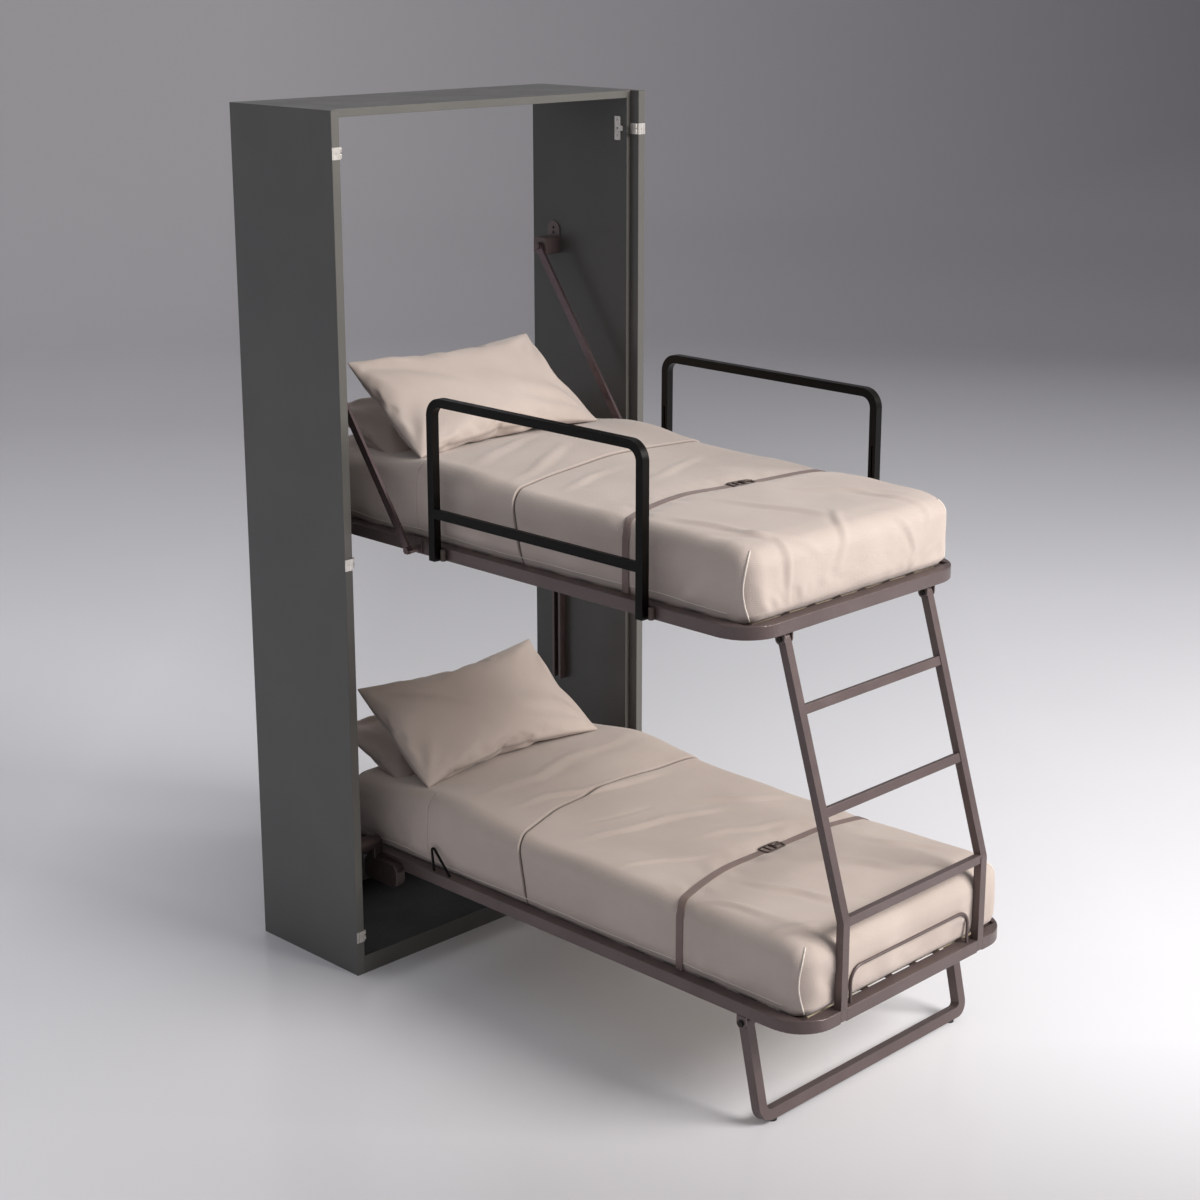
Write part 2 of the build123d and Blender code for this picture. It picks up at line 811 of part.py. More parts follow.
# Floor leg: a bent tube U that hangs from two bolts and stands on two pads
leg_outer = rail_outer - leg_cheek_thickness - body_gap
leg_inner = leg_outer - leg_tube
leg_lean = math.atan2(leg_pivot_y - leg_bottom_y, leg_pivot_z - leg_tube)
leg_bar_z = pad_height + leg_tube / 2 * (math.cos(leg_lean) + math.sin(leg_lean))
leg_run = math.hypot(leg_pivot_y - leg_bottom_y, leg_pivot_z - leg_bar_z) + leg_tube / 2
leg_plane = Plane(
    origin=(0, leg_pivot_y, leg_pivot_z),
    x_dir=(1, 0, 0),
    z_dir=(0, -math.cos(leg_lean), math.sin(leg_lean)),
)
with BuildPart() as leg:
    with BuildSketch(leg_plane.offset(-leg_tube / 2)):
        with BuildLine():
            run = Polyline(
                (-leg_outer, 0), (-leg_outer, -leg_run), (leg_outer, -leg_run), (leg_outer, 0)
            )
            fillet(run.vertices().group_by(Axis.Y)[0], leg_corner)
            offset(amount=leg_tube, side=Side.LEFT)
        make_face()
    extrude(amount=leg_tube)
    with BuildSketch(leg_plane.offset(tube_wall - leg_tube / 2)):
        with BuildLine():
            void_x = leg_outer - tube_wall
            void_bottom = tube_wall - leg_run
            void = Polyline(
                (-void_x, -leg_tube), (-void_x, void_bottom), (void_x, void_bottom), (void_x, -leg_tube)
            )
            fillet(void.vertices().group_by(Axis.Y)[0], leg_corner - tube_wall)
            offset(amount=leg_tube - 2 * tube_wall, side=Side.LEFT)
        make_face()
    extrude(amount=leg_tube - 2 * tube_wall, mode=Mode.SUBTRACT)
    for end in (-leg_outer, leg_inner):
        with BuildSketch(Plane.YZ.offset(end)):
            with Locations((leg_pivot_y, leg_pivot_z)):
                Circle(leg_tube / 2)
        extrude(amount=leg_tube)
        with BuildSketch(Plane.YZ.offset(end)):
            with Locations((leg_pivot_y, leg_pivot_z)):
                Circle(leg_bolt_radius + running_fit / 2)
        extrude(amount=leg_tube, mode=Mode.SUBTRACT)
export(leg.part, "leg_frame", "leg frame")

with BuildPart() as pads:
    with BuildSketch():
        with Locations((0, leg_bottom_y)):
            with GridLocations(2 * (leg_outer - pad_inset), 0, 2, 1):
                Circle(pad_radius)
    extrude(amount=pad_height + leg_tube * math.sin(leg_lean))
    add(leg.part, mode=Mode.SUBTRACT)
export(Compound(children=list(pads.part.solids().sort_by(Axis.Z)[:2])), "leg_pads", "leg pads")


def ear_plate(x, thickness, y, z, end_z, reach, bolt_radius):
    """An ear: square where it meets the rail, round about its bolt."""
    with BuildPart() as ear:
        with BuildSketch(Plane.YZ.offset(x)):
            with Locations((y, z)):
                Circle(reach)
            with Locations((y, (z + end_z) / 2)):
                Rectangle(2 * reach, abs(end_z - z))
            with Locations((y, z)):
                Circle(bolt_radius + running_fit / 2, mode=Mode.SUBTRACT)
        extrude(amount=thickness)
    return ear.part


def through_bolt(x0, x1, y, z, radius, head_radius, head_height):
    """A bolt along X with a six-sided head at each end of its grip."""
    with BuildPart() as bolt:
        add(disc(x0, x1, y, z, radius))
        for x in (x0 - head_height, x1):
            with BuildSketch(Plane.YZ.offset(x)):
                with Locations((y, z)):
                    RegularPolygon(head_radius, 6)
            extrude(amount=head_height)
    return bolt.part


leg_cheeks = [
    ear_plate(
        x,
        leg_cheek_thickness,
        leg_pivot_y,
        leg_pivot_z,
        lower_frame_bottom,
        leg_tube / 2 + leg_cheek_margin,
        leg_bolt_radius,
    )
    for x in (rail_inner, rail_outer - leg_cheek_thickness)
]
export(both_pairs(leg_cheeks), "leg_cheeks", "leg cheeks")
leg_bolt = through_bolt(
    rail_inner,
    rail_outer,
    leg_pivot_y,
    leg_pivot_z,
    leg_bolt_radius,
    leg_bolt_head_radius,
    bolt_head_height,
)
export(both_pairs([leg_bolt]), "leg_bolts", "leg bolts")

# Ladder: two bent stiles that hang from the upper foot rail, and three rungs between them
ladder_foot_y = lower_foot + stile_depth / 2
ladder_tilt = math.degrees(
    math.atan2(ladder_bolt_y - ladder_foot_y, ladder_bolt_z - ladder_bend_z)
)
stile_inner = ladder_half_width - stile_width


def stile_run(top_share, bottom):
    """Side view of a stile's bent centre line, from a share of the way below its bolt."""
    with BuildLine() as run:
        Polyline(
            (
                share_of(ladder_bolt_y, ladder_foot_y, top_share),
                share_of(ladder_bolt_z, ladder_bend_z, top_share),
            ),
            (ladder_foot_y, ladder_bend_z),
            (ladder_foot_y, bottom),
        )
        fillet(run.vertices().sort_by(Axis.Y)[:-1].sort_by(Axis.Y)[-1], bend_radius)
    return run.line


with BuildPart() as stile:
    with BuildSketch(Plane.YZ.offset(stile_inner)):
        trace(stile_run(0, ladder_bottom_z), line_width=stile_depth)
        with Locations((ladder_bolt_y, ladder_bolt_z)):
            Circle(stile_depth / 2)
            Circle(ladder_bolt_radius + running_fit / 2, mode=Mode.SUBTRACT)
    extrude(amount=stile_width)
    with BuildSketch(Plane.YZ.offset(stile_inner + tube_wall)):
        trace(
            stile_run(stile_plug_share, ladder_bottom_z + tube_wall),
            line_width=stile_depth - 2 * tube_wall,
        )
    extrude(amount=stile_width - 2 * tube_wall, mode=Mode.SUBTRACT)
export(both_pairs([stile.part]), "ladder_stiles", "ladder stiles")

rungs = []
for height in rung_heights:
    leaning = height > ladder_bend_z
    climb_share = (height - ladder_bend_z) / (ladder_bolt_z - ladder_bend_z) if leaning else 0
    with BuildPart() as rung:
        Box(2 * stile_inner, rung_depth, rung_height)
        fillet(rung.edges().filter_by(Axis.X), rung_edge)
        Box(
            2 * (stile_inner - tube_wall),
            rung_depth - 2 * tube_wall,
            rung_height - 2 * tube_wall,
            mode=Mode.SUBTRACT,
        )
    place = Location((0, share_of(ladder_foot_y, ladder_bolt_y, climb_share), height))
    rungs.append(place * Rotation(-ladder_tilt if leaning else 0, 0, 0) * rung.part)
export(Compound(children=rungs), "ladder_rungs", "ladder rungs")

ladder_grip = (
    stile_inner - body_gap - cheek_thickness,
    ladder_half_width + body_gap + cheek_thickness,
)
ladder_cheeks = [
    ear_plate(
        x,
        cheek_thickness,
        ladder_bolt_y,
        ladder_bolt_z,
        upper_frame_bottom,
        cheek_width / 2,
        ladder_bolt_radius,
    )
    for x in (ladder_grip[0], ladder_half_width + body_gap)
]
export(both_pairs(ladder_cheeks), "ladder_cheeks", "ladder cheeks")
ladder_bolt = through_bolt(
    *ladder_grip,
    ladder_bolt_y,
    ladder_bolt_z,
    ladder_bolt_radius,
    bolt_head_radius,
    bolt_head_height,
)
export(both_pairs([ladder_bolt]), "ladder_bolts", "ladder bolts")

# Lugs on the upper bed, the carriages that carry them, their pins and sliding shoes
with BuildPart() as lug:
    with BuildSketch(Plane.YZ.offset(rail_outer)):
        with Locations((carriage_y, upper_frame_bottom + tube_height / 2)):
            Rectangle(2 * lug_half_width, tube_height - 2 * tube_edge)
        with Locations((carriage_y, upper_pivot_z)):
            Circle(lug_head_radius)
        make_hull()
        with Locations((carriage_y, upper_pivot_z)):
            Circle(pivot_pin_radius + running_fit / 2, mode=Mode.SUBTRACT)
    extrude(amount=lug_thickness)
export(both_pairs([lug.part]), "carriage_lugs", "carriage lugs")

shoe_inner = wall - guide_depth + guide_wall + 2 * slide_gap
shoe_outer = wall - guide_wall - 2 * slide_gap
shoe_depth = guide_width - 2 * guide_wall - 2 * slide_gap
with BuildPart() as carriage:
    with BuildSketch(Plane.YZ.offset(carriage_inner)):
        with Locations((carriage_y, upper_pivot_z)):
            RectangleRounded(2 * carriage_half_width, 2 * carriage_half_height, carriage_edge)
    extrude(amount=carriage_outer - carriage_inner)
    with BuildSketch(Plane.YZ.offset(carriage_outer)):
        with Locations((carriage_y, upper_pivot_z)):
            Rectangle(shoe_neck_width, shoe_spacing + shoe_neck_width)
    extrude(amount=shoe_inner - carriage_outer)
export(carriage.part, "carriage_right", "carriage right")
export(mirror(carriage.part, about=Plane.YZ), "carriage_left", "carriage left")

with BuildPart() as shoes:
    with BuildSketch(Plane.YZ.offset(shoe_inner)):
        with Locations((carriage_y, upper_pivot_z)):
            with GridLocations(0, shoe_spacing, 1, 2):
                RectangleRounded(shoe_depth, shoe_height, carriage_edge)
    extrude(amount=shoe_outer - shoe_inner)
export(both_pairs(list(shoes.part.solids())), "carriage_shoes", "carriage shoes")

pin_head_inner = rail_outer - body_gap - pivot_pin_head
pin_head_outer = pin_head_inner + pivot_pin_head
spacer_inner = rail_outer + lug_thickness + body_gap
with BuildPart() as pin:
    add(disc(pin_head_inner, pin_head_outer, carriage_y, upper_pivot_z, pivot_pin_head_radius))
    add(disc(pin_head_inner, carriage_inner, carriage_y, upper_pivot_z, pivot_pin_radius))
    add(disc(spacer_inner, carriage_inner, carriage_y, upper_pivot_z, spacer_radius))
export(both_pairs([pin.part]), "carriage_pins", "carriage pins")

# Ears on the upper side rails where the stay arms' lower bolts turn
with BuildPart() as arm_ear:
    ear_bottom = upper_frame_bottom + tube_edge
    ear_height = tube_height - tube_edge + ear_rise
    with BuildSketch(Plane.YZ.offset(rail_outer)):
        with Locations((arm_foot_y, ear_bottom + ear_height / 2)):
            RectangleRounded(ear_width, ear_height, carriage_edge)
    extrude(amount=ear_thickness)
    with BuildSketch(Plane.YZ.offset(rail_outer + ear_thickness)):
        with Locations((arm_foot_y, arm_foot_z)):
            Circle(ear_boss_radius)
    extrude(amount=arm_inner - body_gap - rail_outer - ear_thickness)
export(both_pairs([arm_ear.part]), "arm_ears", "arm ears")

# Guards: square tube loops with a cross bar. Each post is slotted at its back and slides on a
# tee-shaped runner that is fixed to the upper side rail, with a knob beside it
guard_front = guard_rear - guard_length
guard_outer = guard_inner + guard_tube
guard_posts = (guard_rear - guard_tube / 2, guard_front + guard_tube / 2)
slot_top = sleeve_z + sleeve_height + guard_drop + guard_tube


def guard_outline(inset):
    """Side view of the guard's bent tube, or of its hollow when inset by the tube wall."""
    with BuildSketch() as outline:
        with BuildLine():
            run = Polyline(
                (guard_rear - inset, guard_bottom + inset),
                (guard_rear - inset, guard_top - inset),
                (guard_front + inset, guard_top - inset),
                (guard_front + inset, guard_bottom + inset),
            )
            fillet(run.vertices().group_by(Axis.Y)[-1], guard_corner - inset)
            offset(amount=guard_tube - 2 * inset, side=Side.LEFT)
        make_face()
    return outline.sketch


with BuildPart() as guard:
    with BuildSketch(Plane.YZ.offset(guard_inner)):
        add(guard_outline(0))
    extrude(amount=guard_tube)
    with BuildSketch(Plane.YZ.offset(guard_inner + guard_wall)):
        add(guard_outline(guard_wall))
    extrude(amount=guard_tube - 2 * guard_wall, mode=Mode.SUBTRACT)
    for post_y in guard_posts:
        slot_width = sleeve_neck_width + 2 * body_gap
        with BuildSketch(Plane.YZ.offset(guard_inner)):
            with Locations((post_y, (guard_bottom + slot_top) / 2)):
                Rectangle(slot_width, slot_top - guard_bottom)
        extrude(amount=guard_wall, mode=Mode.SUBTRACT)
        with BuildSketch(Plane.XY.offset(guard_bottom)):
            with Locations((guard_inner + guard_tube / 2, post_y)):
                Rectangle(guard_tube - 2 * guard_wall, guard_tube - 2 * guard_wall)
        extrude(amount=guard_wall, mode=Mode.SUBTRACT)
    with BuildSketch(Plane.YZ.offset(guard_outer - crossbar_thickness)):
        with Locations(((guard_rear + guard_front) / 2, crossbar_z)):
            Rectangle(guard_length - 2 * guard_tube, crossbar_height)
    extrude(amount=crossbar_thickness)
export(guard.part, "guard_right", "guard right")
export(mirror(guard.part, about=Plane.YZ), "guard_left", "guard left")

head_inner = guard_inner + guard_wall + body_gap
sleeves = []
knobs = []
for post_y in guard_posts:
    sleeve_middle_z = sleeve_z + sleeve_height / 2
    with BuildPart() as sleeve:
        with BuildSketch(Plane.YZ.offset(rail_outer)):
            with Locations((post_y, sleeve_middle_z)):
                Rectangle(guard_tube, sleeve_height)
        extrude(amount=guard_inner - body_gap - rail_outer)
        with BuildSketch(Plane.YZ.offset(rail_outer)):
            with Locations((post_y, sleeve_middle_z)):
                Rectangle(sleeve_neck_width, sleeve_height)
        extrude(amount=head_inner - rail_outer)
        with BuildSketch(Plane.YZ.offset(head_inner)):
            with Locations((post_y, sleeve_middle_z)):
                Rectangle(sleeve_head_width, sleeve_height)
        extrude(amount=sleeve_head_thickness)
    sleeves.append(sleeve.part)
    with BuildPart() as knob:
        knob_x = rail_outer + body_gap + knob_radius
        knob_y = post_y - guard_tube / 2 - knob_neck - knob_radius
        neck_x = (rail_outer + guard_inner - body_gap) / 2
        with BuildSketch(Plane.XY.offset(sleeve_middle_z - knob_height / 2)):
            with Locations((knob_x, knob_y)):
                Circle(knob_radius)
        extrude(amount=knob_height)
        fillet(knob.edges(), knob_edge)
        with BuildSketch(Plane.XZ.offset(guard_tube / 2 - post_y)):
            with Locations((neck_x, sleeve_middle_z)):
                Circle(knob_neck_radius)
        extrude(amount=knob_neck + knob_radius)
    knobs.append(knob.part)
export(both_pairs(sleeves), "guard_sleeves", "guard sleeves")
export(both_pairs(knobs), "guard_knobs", "guard knobs")
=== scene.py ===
"""Finishes, bedding and studio for a folding bunk bed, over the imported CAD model.

Lengths are metres in the frame of the CAD model: X across, the foot end toward -Y, Z up.
"""
from __future__ import annotations

import logging
import math
from dataclasses import dataclass
from enum import Enum

import bpy
import numpy as np
from mathutils import Matrix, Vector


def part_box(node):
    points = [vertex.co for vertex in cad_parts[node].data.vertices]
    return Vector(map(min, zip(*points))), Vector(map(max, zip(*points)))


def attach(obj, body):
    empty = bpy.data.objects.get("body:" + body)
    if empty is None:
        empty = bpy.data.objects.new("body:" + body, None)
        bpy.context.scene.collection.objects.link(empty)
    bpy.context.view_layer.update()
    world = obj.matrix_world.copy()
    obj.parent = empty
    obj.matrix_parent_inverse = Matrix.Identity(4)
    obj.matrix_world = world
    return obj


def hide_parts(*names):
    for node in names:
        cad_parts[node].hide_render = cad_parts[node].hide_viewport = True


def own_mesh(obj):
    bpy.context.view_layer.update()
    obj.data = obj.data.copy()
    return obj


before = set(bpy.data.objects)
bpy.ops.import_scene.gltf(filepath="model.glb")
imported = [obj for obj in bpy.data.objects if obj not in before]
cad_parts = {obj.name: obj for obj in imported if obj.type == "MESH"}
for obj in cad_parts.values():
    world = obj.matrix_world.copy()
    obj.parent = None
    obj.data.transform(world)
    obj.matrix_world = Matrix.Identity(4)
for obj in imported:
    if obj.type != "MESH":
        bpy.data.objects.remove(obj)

LOG = logging.getLogger("bunk_bed")
MM = 0.001
FRONT_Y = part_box("base_panel")[0][1]
TURN = 2 * math.pi
Array = np.ndarray
Tree = bpy.types.NodeTree
Node = bpy.types.Node
Socket = bpy.types.NodeSocket
Material = bpy.types.Material
Piece = bpy.types.Object
Colour = tuple[float, float, float, float]
Place = tuple[float, float, float]


class Slot(Enum):
    """The record's material slots."""

    LACQUER = "lacquer"
    BED_METAL = "bed_metal"
    BLACK_METAL = "black_metal"
    BRIGHT_STEEL = "bright_steel"
    DARK_STEEL = "dark_steel"
    SLAT_WOOD = "slat_wood"
    MOULDING = "moulding"
    FOAM = "foam"
    BEDDING = "bedding"
    WEBBING = "webbing"
    RUBBER = "rubber"


class Bed(Enum):
    """The two beds and the bodies and joints that carry their soft goods."""

    LOWER = "lower"
    UPPER = "upper"

    @property
    def body(self) -> str:
        """The CAD body that the bed's pieces ride on."""
        return f"{self.value}_bed"

    @property
    def fold(self) -> str:
        """The joint that folds the bed."""
        return f"{self.value}_fold"

    def box(self, part: str) -> tuple[Place, Place]:
        """Lowest and highest corners of one of the bed's CAD nodes."""
        low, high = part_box(f"{self.value}_{part}")
        return tuple(low), tuple(high)


# Colours and nodes


def linear(code: str) -> Colour:
    """Turns an sRGB hex colour into linear light.

    Args:
        code: Six hex digits, with or without a leading hash.

    Returns:
        Red, green, blue and an alpha of one.
    """
    digits = code.lstrip("#")
    values = [int(digits[i : i + 2], 16) / 255 for i in (0, 2, 4)]
    light = [v / 12.92 if v <= 0.04045 else ((v + 0.055) / 1.055) ** 2.4 for v in values]
    return (light[0], light[1], light[2], 1.0)


def per_metre(size_mm: float) -> float:
    """How many times a pattern of a size in millimetres fits into a metre."""
    return 1 / (size_mm * MM)


def wave_scale(size_mm: float) -> float:
    """Scale of a wave texture that repeats over a size; at one it repeats over 2 pi / 20."""
    return TURN / (20 * size_mm * MM)


def add_node(tree: Tree, kind: str, inputs: dict | tuple = (), **settings: str) -> Node:
    """Adds a node, sets its options, and sets or links its sockets.

    Args:
        tree: The node tree that gets the node.
        kind: The node's type name, without the ShaderNode that they all start with.
        inputs: A value, or the socket that feeds it, for each socket: under its name or number,
            or in the sockets' own order.
        settings: Values for the node's own options.

    Returns:
        The new node.
    """
    node = tree.nodes.new(f"ShaderNode{kind}")
    for name, value in settings.items():
        setattr(node, name, value)
    for key, value in inputs.items() if isinstance(inputs, dict) else enumerate(inputs):
        if isinstance(value, Socket):
            tree.links.new(value, node.inputs[key])
        else:
            node.inputs[key].default_value = value
    return node


# Noise factors crowd between these two, so clouds are stretched from them
NOISE_SPAN = (0.3, 0.7)


@dataclass(frozen=True)
class Finish:
    """What every finish has: its name, its colour's two ends, gloss and the size of its grain.

    The colour wanders between shade and tone over cloud_mm, the gloss over clouds about a third
    as wide, and grain_mm is the spacing of the fine relief, which stands grain_height_mm high.
    """

    name: str
    tone: str
    shade: str
    roughness: float = 0.5
    roughness_swing: float = 0.06
    metallic: float = 0.0
    cloud_mm: float = 220.0
    grain_mm: float = 6.0
    grain_height_mm: float = 0.1
    grain_detail: float = 2.0
    sheen: float = 0.0
    specular: float = 0.5

    def start(self) -> tuple[Material, Node]:
        """Makes the material with its shader, whose constant values sit on its own sockets.

        Returns:
            The material and its shader.
        """
        material = bpy.data.materials.new(self.name)
        material.use_nodes = True
        material.diffuse_color = linear(self.tone)
        material.node_tree.nodes.clear()
        shader = add_node(material.node_tree, "BsdfPrincipled", {
            "Metallic": self.metallic,
            "Roughness": self.roughness,
            "Specular IOR Level": self.specular,
            "Sheen Weight": self.sheen,
        })
        add_node(material.node_tree, "OutputMaterial", (shader.outputs["BSDF"],))
        return material, shader

    def overlay(self, tree: Tree, under: object, factor: Socket,
                span: tuple[float, float, float, float], over: object) -> Socket:
        """Lays one colour over another where a factor says so.

        Args:
            tree: The finish's node tree.
            under: The lower colour, or its socket.
            factor: What the upper colour follows.
            span: Two values of the factor, and the upper colour's share at each.
            over: The upper colour, or its socket.

        Returns:
            The mixed colour.
        """
        share = add_node(tree, "MapRange", (factor, *span)).outputs["Result"]
        mixed = add_node(tree, "Mix", {0: share, 6: under, 7: over}, data_type="RGBA")
        return mixed.outputs[2]

    def height(self, tree: Tree, where: Socket) -> Socket:
        """The relief: soft noise whose bumps are about grain_mm apart.

        Args:
            tree: The finish's node tree.
            where: The place on the piece, in metres.

        Returns:
            The relief's height.
        """
        grain = add_node(tree, "TexNoise", {
            "Vector": where, "Scale": per_metre(self.grain_mm), "Detail": self.grain_detail,
            "Roughness": 0.55,
        })
        return grain.outputs["Fac"]

    def colour(self, tree: Tree, where: Socket, height: Socket) -> Socket:
        """The colour, wandering between its shade and its tone.

        Args:
            tree: The finish's node tree.
            where: The place on the piece, in metres.
            height: The relief's height there.

        Returns:
            The colour.
        """
        cloud = add_node(tree, "TexNoise", {
            "Vector": where, "Scale": per_metre(self.cloud_mm), "Detail": 3.0,
            "Roughness": 0.55,
        })
        return self.overlay(tree, linear(self.shade), cloud.outputs["Fac"],
                            (*NOISE_SPAN, 0.0, 1.0), linear(self.tone))

    def gloss(self, tree: Tree, where: Socket, height: Socket) -> Socket:
        """Roughness that wanders round its typical value.

        Args:
            tree: The finish's node tree.
            where: The place on the piece, in metres.
            height: The relief's height there.

        Returns:
            The roughness.
        """
        cloud = add_node(tree, "TexNoise", {
            "Vector": where, "Scale": per_metre(self.cloud_mm * 0.37), "Detail": 4.0,
            "Roughness": 0.55,
        })
        return add_node(tree, "MapRange", (
            cloud.outputs["Fac"], *NOISE_SPAN, self.roughness - self.roughness_swing,
            self.roughness + self.roughness_swing,
        )).outputs["Result"]

    def make(self) -> Material:
        """Makes the material: colour, gloss and relief from places on the piece, in metres.

        Returns:
            The finished material.
        """
        material, shader = self.start()
        tree = material.node_tree
        where = add_node(tree, "TexCoord").outputs["Object"]
        height = self.height(tree, where)
        bump = add_node(tree, "Bump", {
            "Height": height, "Distance": self.grain_height_mm * MM, "Strength": 1.0,
        })
        tree.links.new(self.colour(tree, where, height), shader.inputs["Base Color"])
        tree.links.new(self.gloss(tree, where, height), shader.inputs["Roughness"])
        tree.links.new(bump.outputs["Normal"], shader.inputs["Normal"])
        return material


@dataclass(frozen=True)
class LacqueredBoard(Finish):
    """Matt lacquer sprayed on board.

    Spraying leaves a faint orange peel a few millimetres across and soft clouds of tone, and
    handling leaves fine pale specks of dust. Faces that look to the front are painted a little
    paler than the rest, a painted highlight of the light from the front, and an upper side may be
    painted darker, a painted shade cast from above.
    """

    grain_detail: float = 1.0
    speck: str = "#66645f"
    # Painted highlight: faces that look to the front get this paler colour, for the light from the
    # front
    painted_front_light: str = "#605f5b"
    # Painted shade: an upper side may get this darker colour, for the shade cast on it from above
    painted_top_shade: str = ""
    # Dust specks are under a millimetre; they are drawn about four across so that they show
    speck_mm: float = 4.0

    def colour(self, tree: Tree, where: Socket, height: Socket) -> Socket:
        """The lacquer's colour with its painted front highlight, its painted top shade and its
        dust.
        """
        colour = super().colour(tree, where, height)
        normal = add_node(tree, "TexCoord").outputs["Normal"]
        facing = add_node(tree, "SeparateXYZ", (normal,))
        # Painted highlight on the faces that look to the front
        colour = self.overlay(tree, colour, facing.outputs["Y"], (-0.7, -0.9, 0.0, 1.0),
                              linear(self.painted_front_light))
        # Painted shade on the faces that look up
        if self.painted_top_shade:
            colour = self.overlay(tree, colour, facing.outputs["Z"], (0.6, 0.8, 0.0, 1.0),
                                  linear(self.painted_top_shade))
        dust = add_node(tree, "TexNoise", {
            "Vector": where, "Scale": per_metre(self.speck_mm), "Detail": 1.0,
            "Roughness": 0.55,
        })
        return self.overlay(tree, colour, dust.outputs["Fac"], (0.66, 0.74, 0.0, 0.35),
                            linear(self.speck))


@dataclass(frozen=True)
class PowderCoat(Finish):
    """Fine-textured powder coat baked on steel tube.

    The cured powder stands in tiny grains, so the highlight is broad and sparkles a little, and
    the coat is thinner and lighter where it is rubbed.
    """

    rubbed: str = "#6d5f5e"
    scuff_mm: float = 45.0

    def height(self, tree: Tree, where: Socket) -> Socket:
        """The grains, really about 0.3 mm wide and drawn at grain_mm, the finest that shows."""
        grit = add_node(tree, "TexVoronoi", {"Vector": where, "Scale": per_metre(self.grain_mm)})
        return grit.outputs["Distance"]

    def colour(self, tree: Tree, where: Socket, height: Socket) -> Socket:
        """The coat's colour with its rubbed places, and a sparkle on its grains."""
        scuffs = add_node(tree, "TexNoise", {
            "Vector": where, "Scale": per_metre(self.scuff_mm), "Detail": 6.0,
            "Roughness": 0.75,
        })
        colour = self.overlay(tree, super().colour(tree, where, height), scuffs.outputs["Fac"],
                              (0.62, 0.8, 0.0, 0.4), linear(self.rubbed))
        sparkle = add_node(tree, "MapRange", (height, 0.0, 0.9, 0.9, 1.08)).outputs["Result"]
        return add_node(tree, "VectorMath", {0: colour, "Scale": sparkle},
                        operation="SCALE").outputs["Vector"]


@dataclass(frozen=True)
class BrushedSteel(Finish):
    """Rolled and plated steel: fine lines along its length and cloudy gloss."""

    # Rolling lines are hair-fine; they are drawn this far apart so that they show
    line_mm: float = 3.0
    along_per_metre: float = 6.0

    def height(self, tree: Tree, where: Socket) -> Socket:
        """The lines: noise drawn out along Z."""
        across = per_metre(self.line_mm)
        drawn = add_node(tree, "Mapping", {
            "Vector": where, "Scale": (across, across, self.along_per_metre),
        })
        lines = add_node(tree, "TexNoise", {
            "Vector": drawn.outputs["Vector"], "Scale": 1.0, "Detail": 3.0,
        })
        return lines.outputs["Fac"]

    def gloss(self, tree: Tree, where: Socket, height: Socket) -> Socket:
        """Roughness that follows the lines."""
        return add_node(tree, "MapRange", (
            height, *NOISE_SPAN, self.roughness - self.roughness_swing,
            self.roughness + self.roughness_swing,
        )).outputs["Result"]


@dataclass(frozen=True)
class BirchPly(Finish):
    """Bent birch plywood slats: pale wood with darker grain across the bed and glued layers."""

    glue_line: str = "#b09a76"
    along_per_metre: float = 2.2
    # Two glued layers, 1.4 mm each
    layers_mm: float = 2.8

    def height(self, tree: Tree, where: Socket) -> Socket:
        """The grain, which runs along X in lines grain_mm apart, as on rotary-cut birch."""
        across = per_metre(self.grain_mm)
        drawn = add_node(tree, "Mapping", {
            "Vector": where, "Scale": (self.along_per_metre, across, across),
        })
        grain = add_node(tree, "TexNoise", {
            "Vector": drawn.outputs["Vector"], "Scale": 1.0, "Detail": 6.0, "Distortion": 0.6,
        })
        return grain.outputs["Fac"]

    def colour(self, tree: Tree, where: Socket, height: Socket) -> Socket:
        """The grain's colour, and on the slat's edges the glued layers, stacked along Z."""
        colour = self.overlay(tree, linear(self.shade), height, (0.35, 0.68, 0.0, 1.0),
                              linear(self.tone))
        layers = add_node(tree, "TexWave", {
            "Vector": where, "Scale": wave_scale(self.layers_mm), "Distortion": 0.0,
        }, bands_direction="Z")
        normal = add_node(tree, "TexCoord").outputs["Normal"]
        facing = add_node(tree, "SeparateXYZ", (normal,))
        level = add_node(tree, "Math", (facing.outputs["Z"],), operation="ABSOLUTE")
        edge = add_node(tree, "MapRange", (level.outputs["Value"], 0.3, 0.6, 0.5, 0.0))
        share = add_node(tree, "Math", (edge.outputs["Result"], layers.outputs["Fac"]),
                         operation="MULTIPLY")
        mixed = add_node(tree, "Mix", {
            0: share.outputs["Value"], 6: colour, 7: linear(self.glue_line),
        }, data_type="RGBA")
        return mixed.outputs[2]


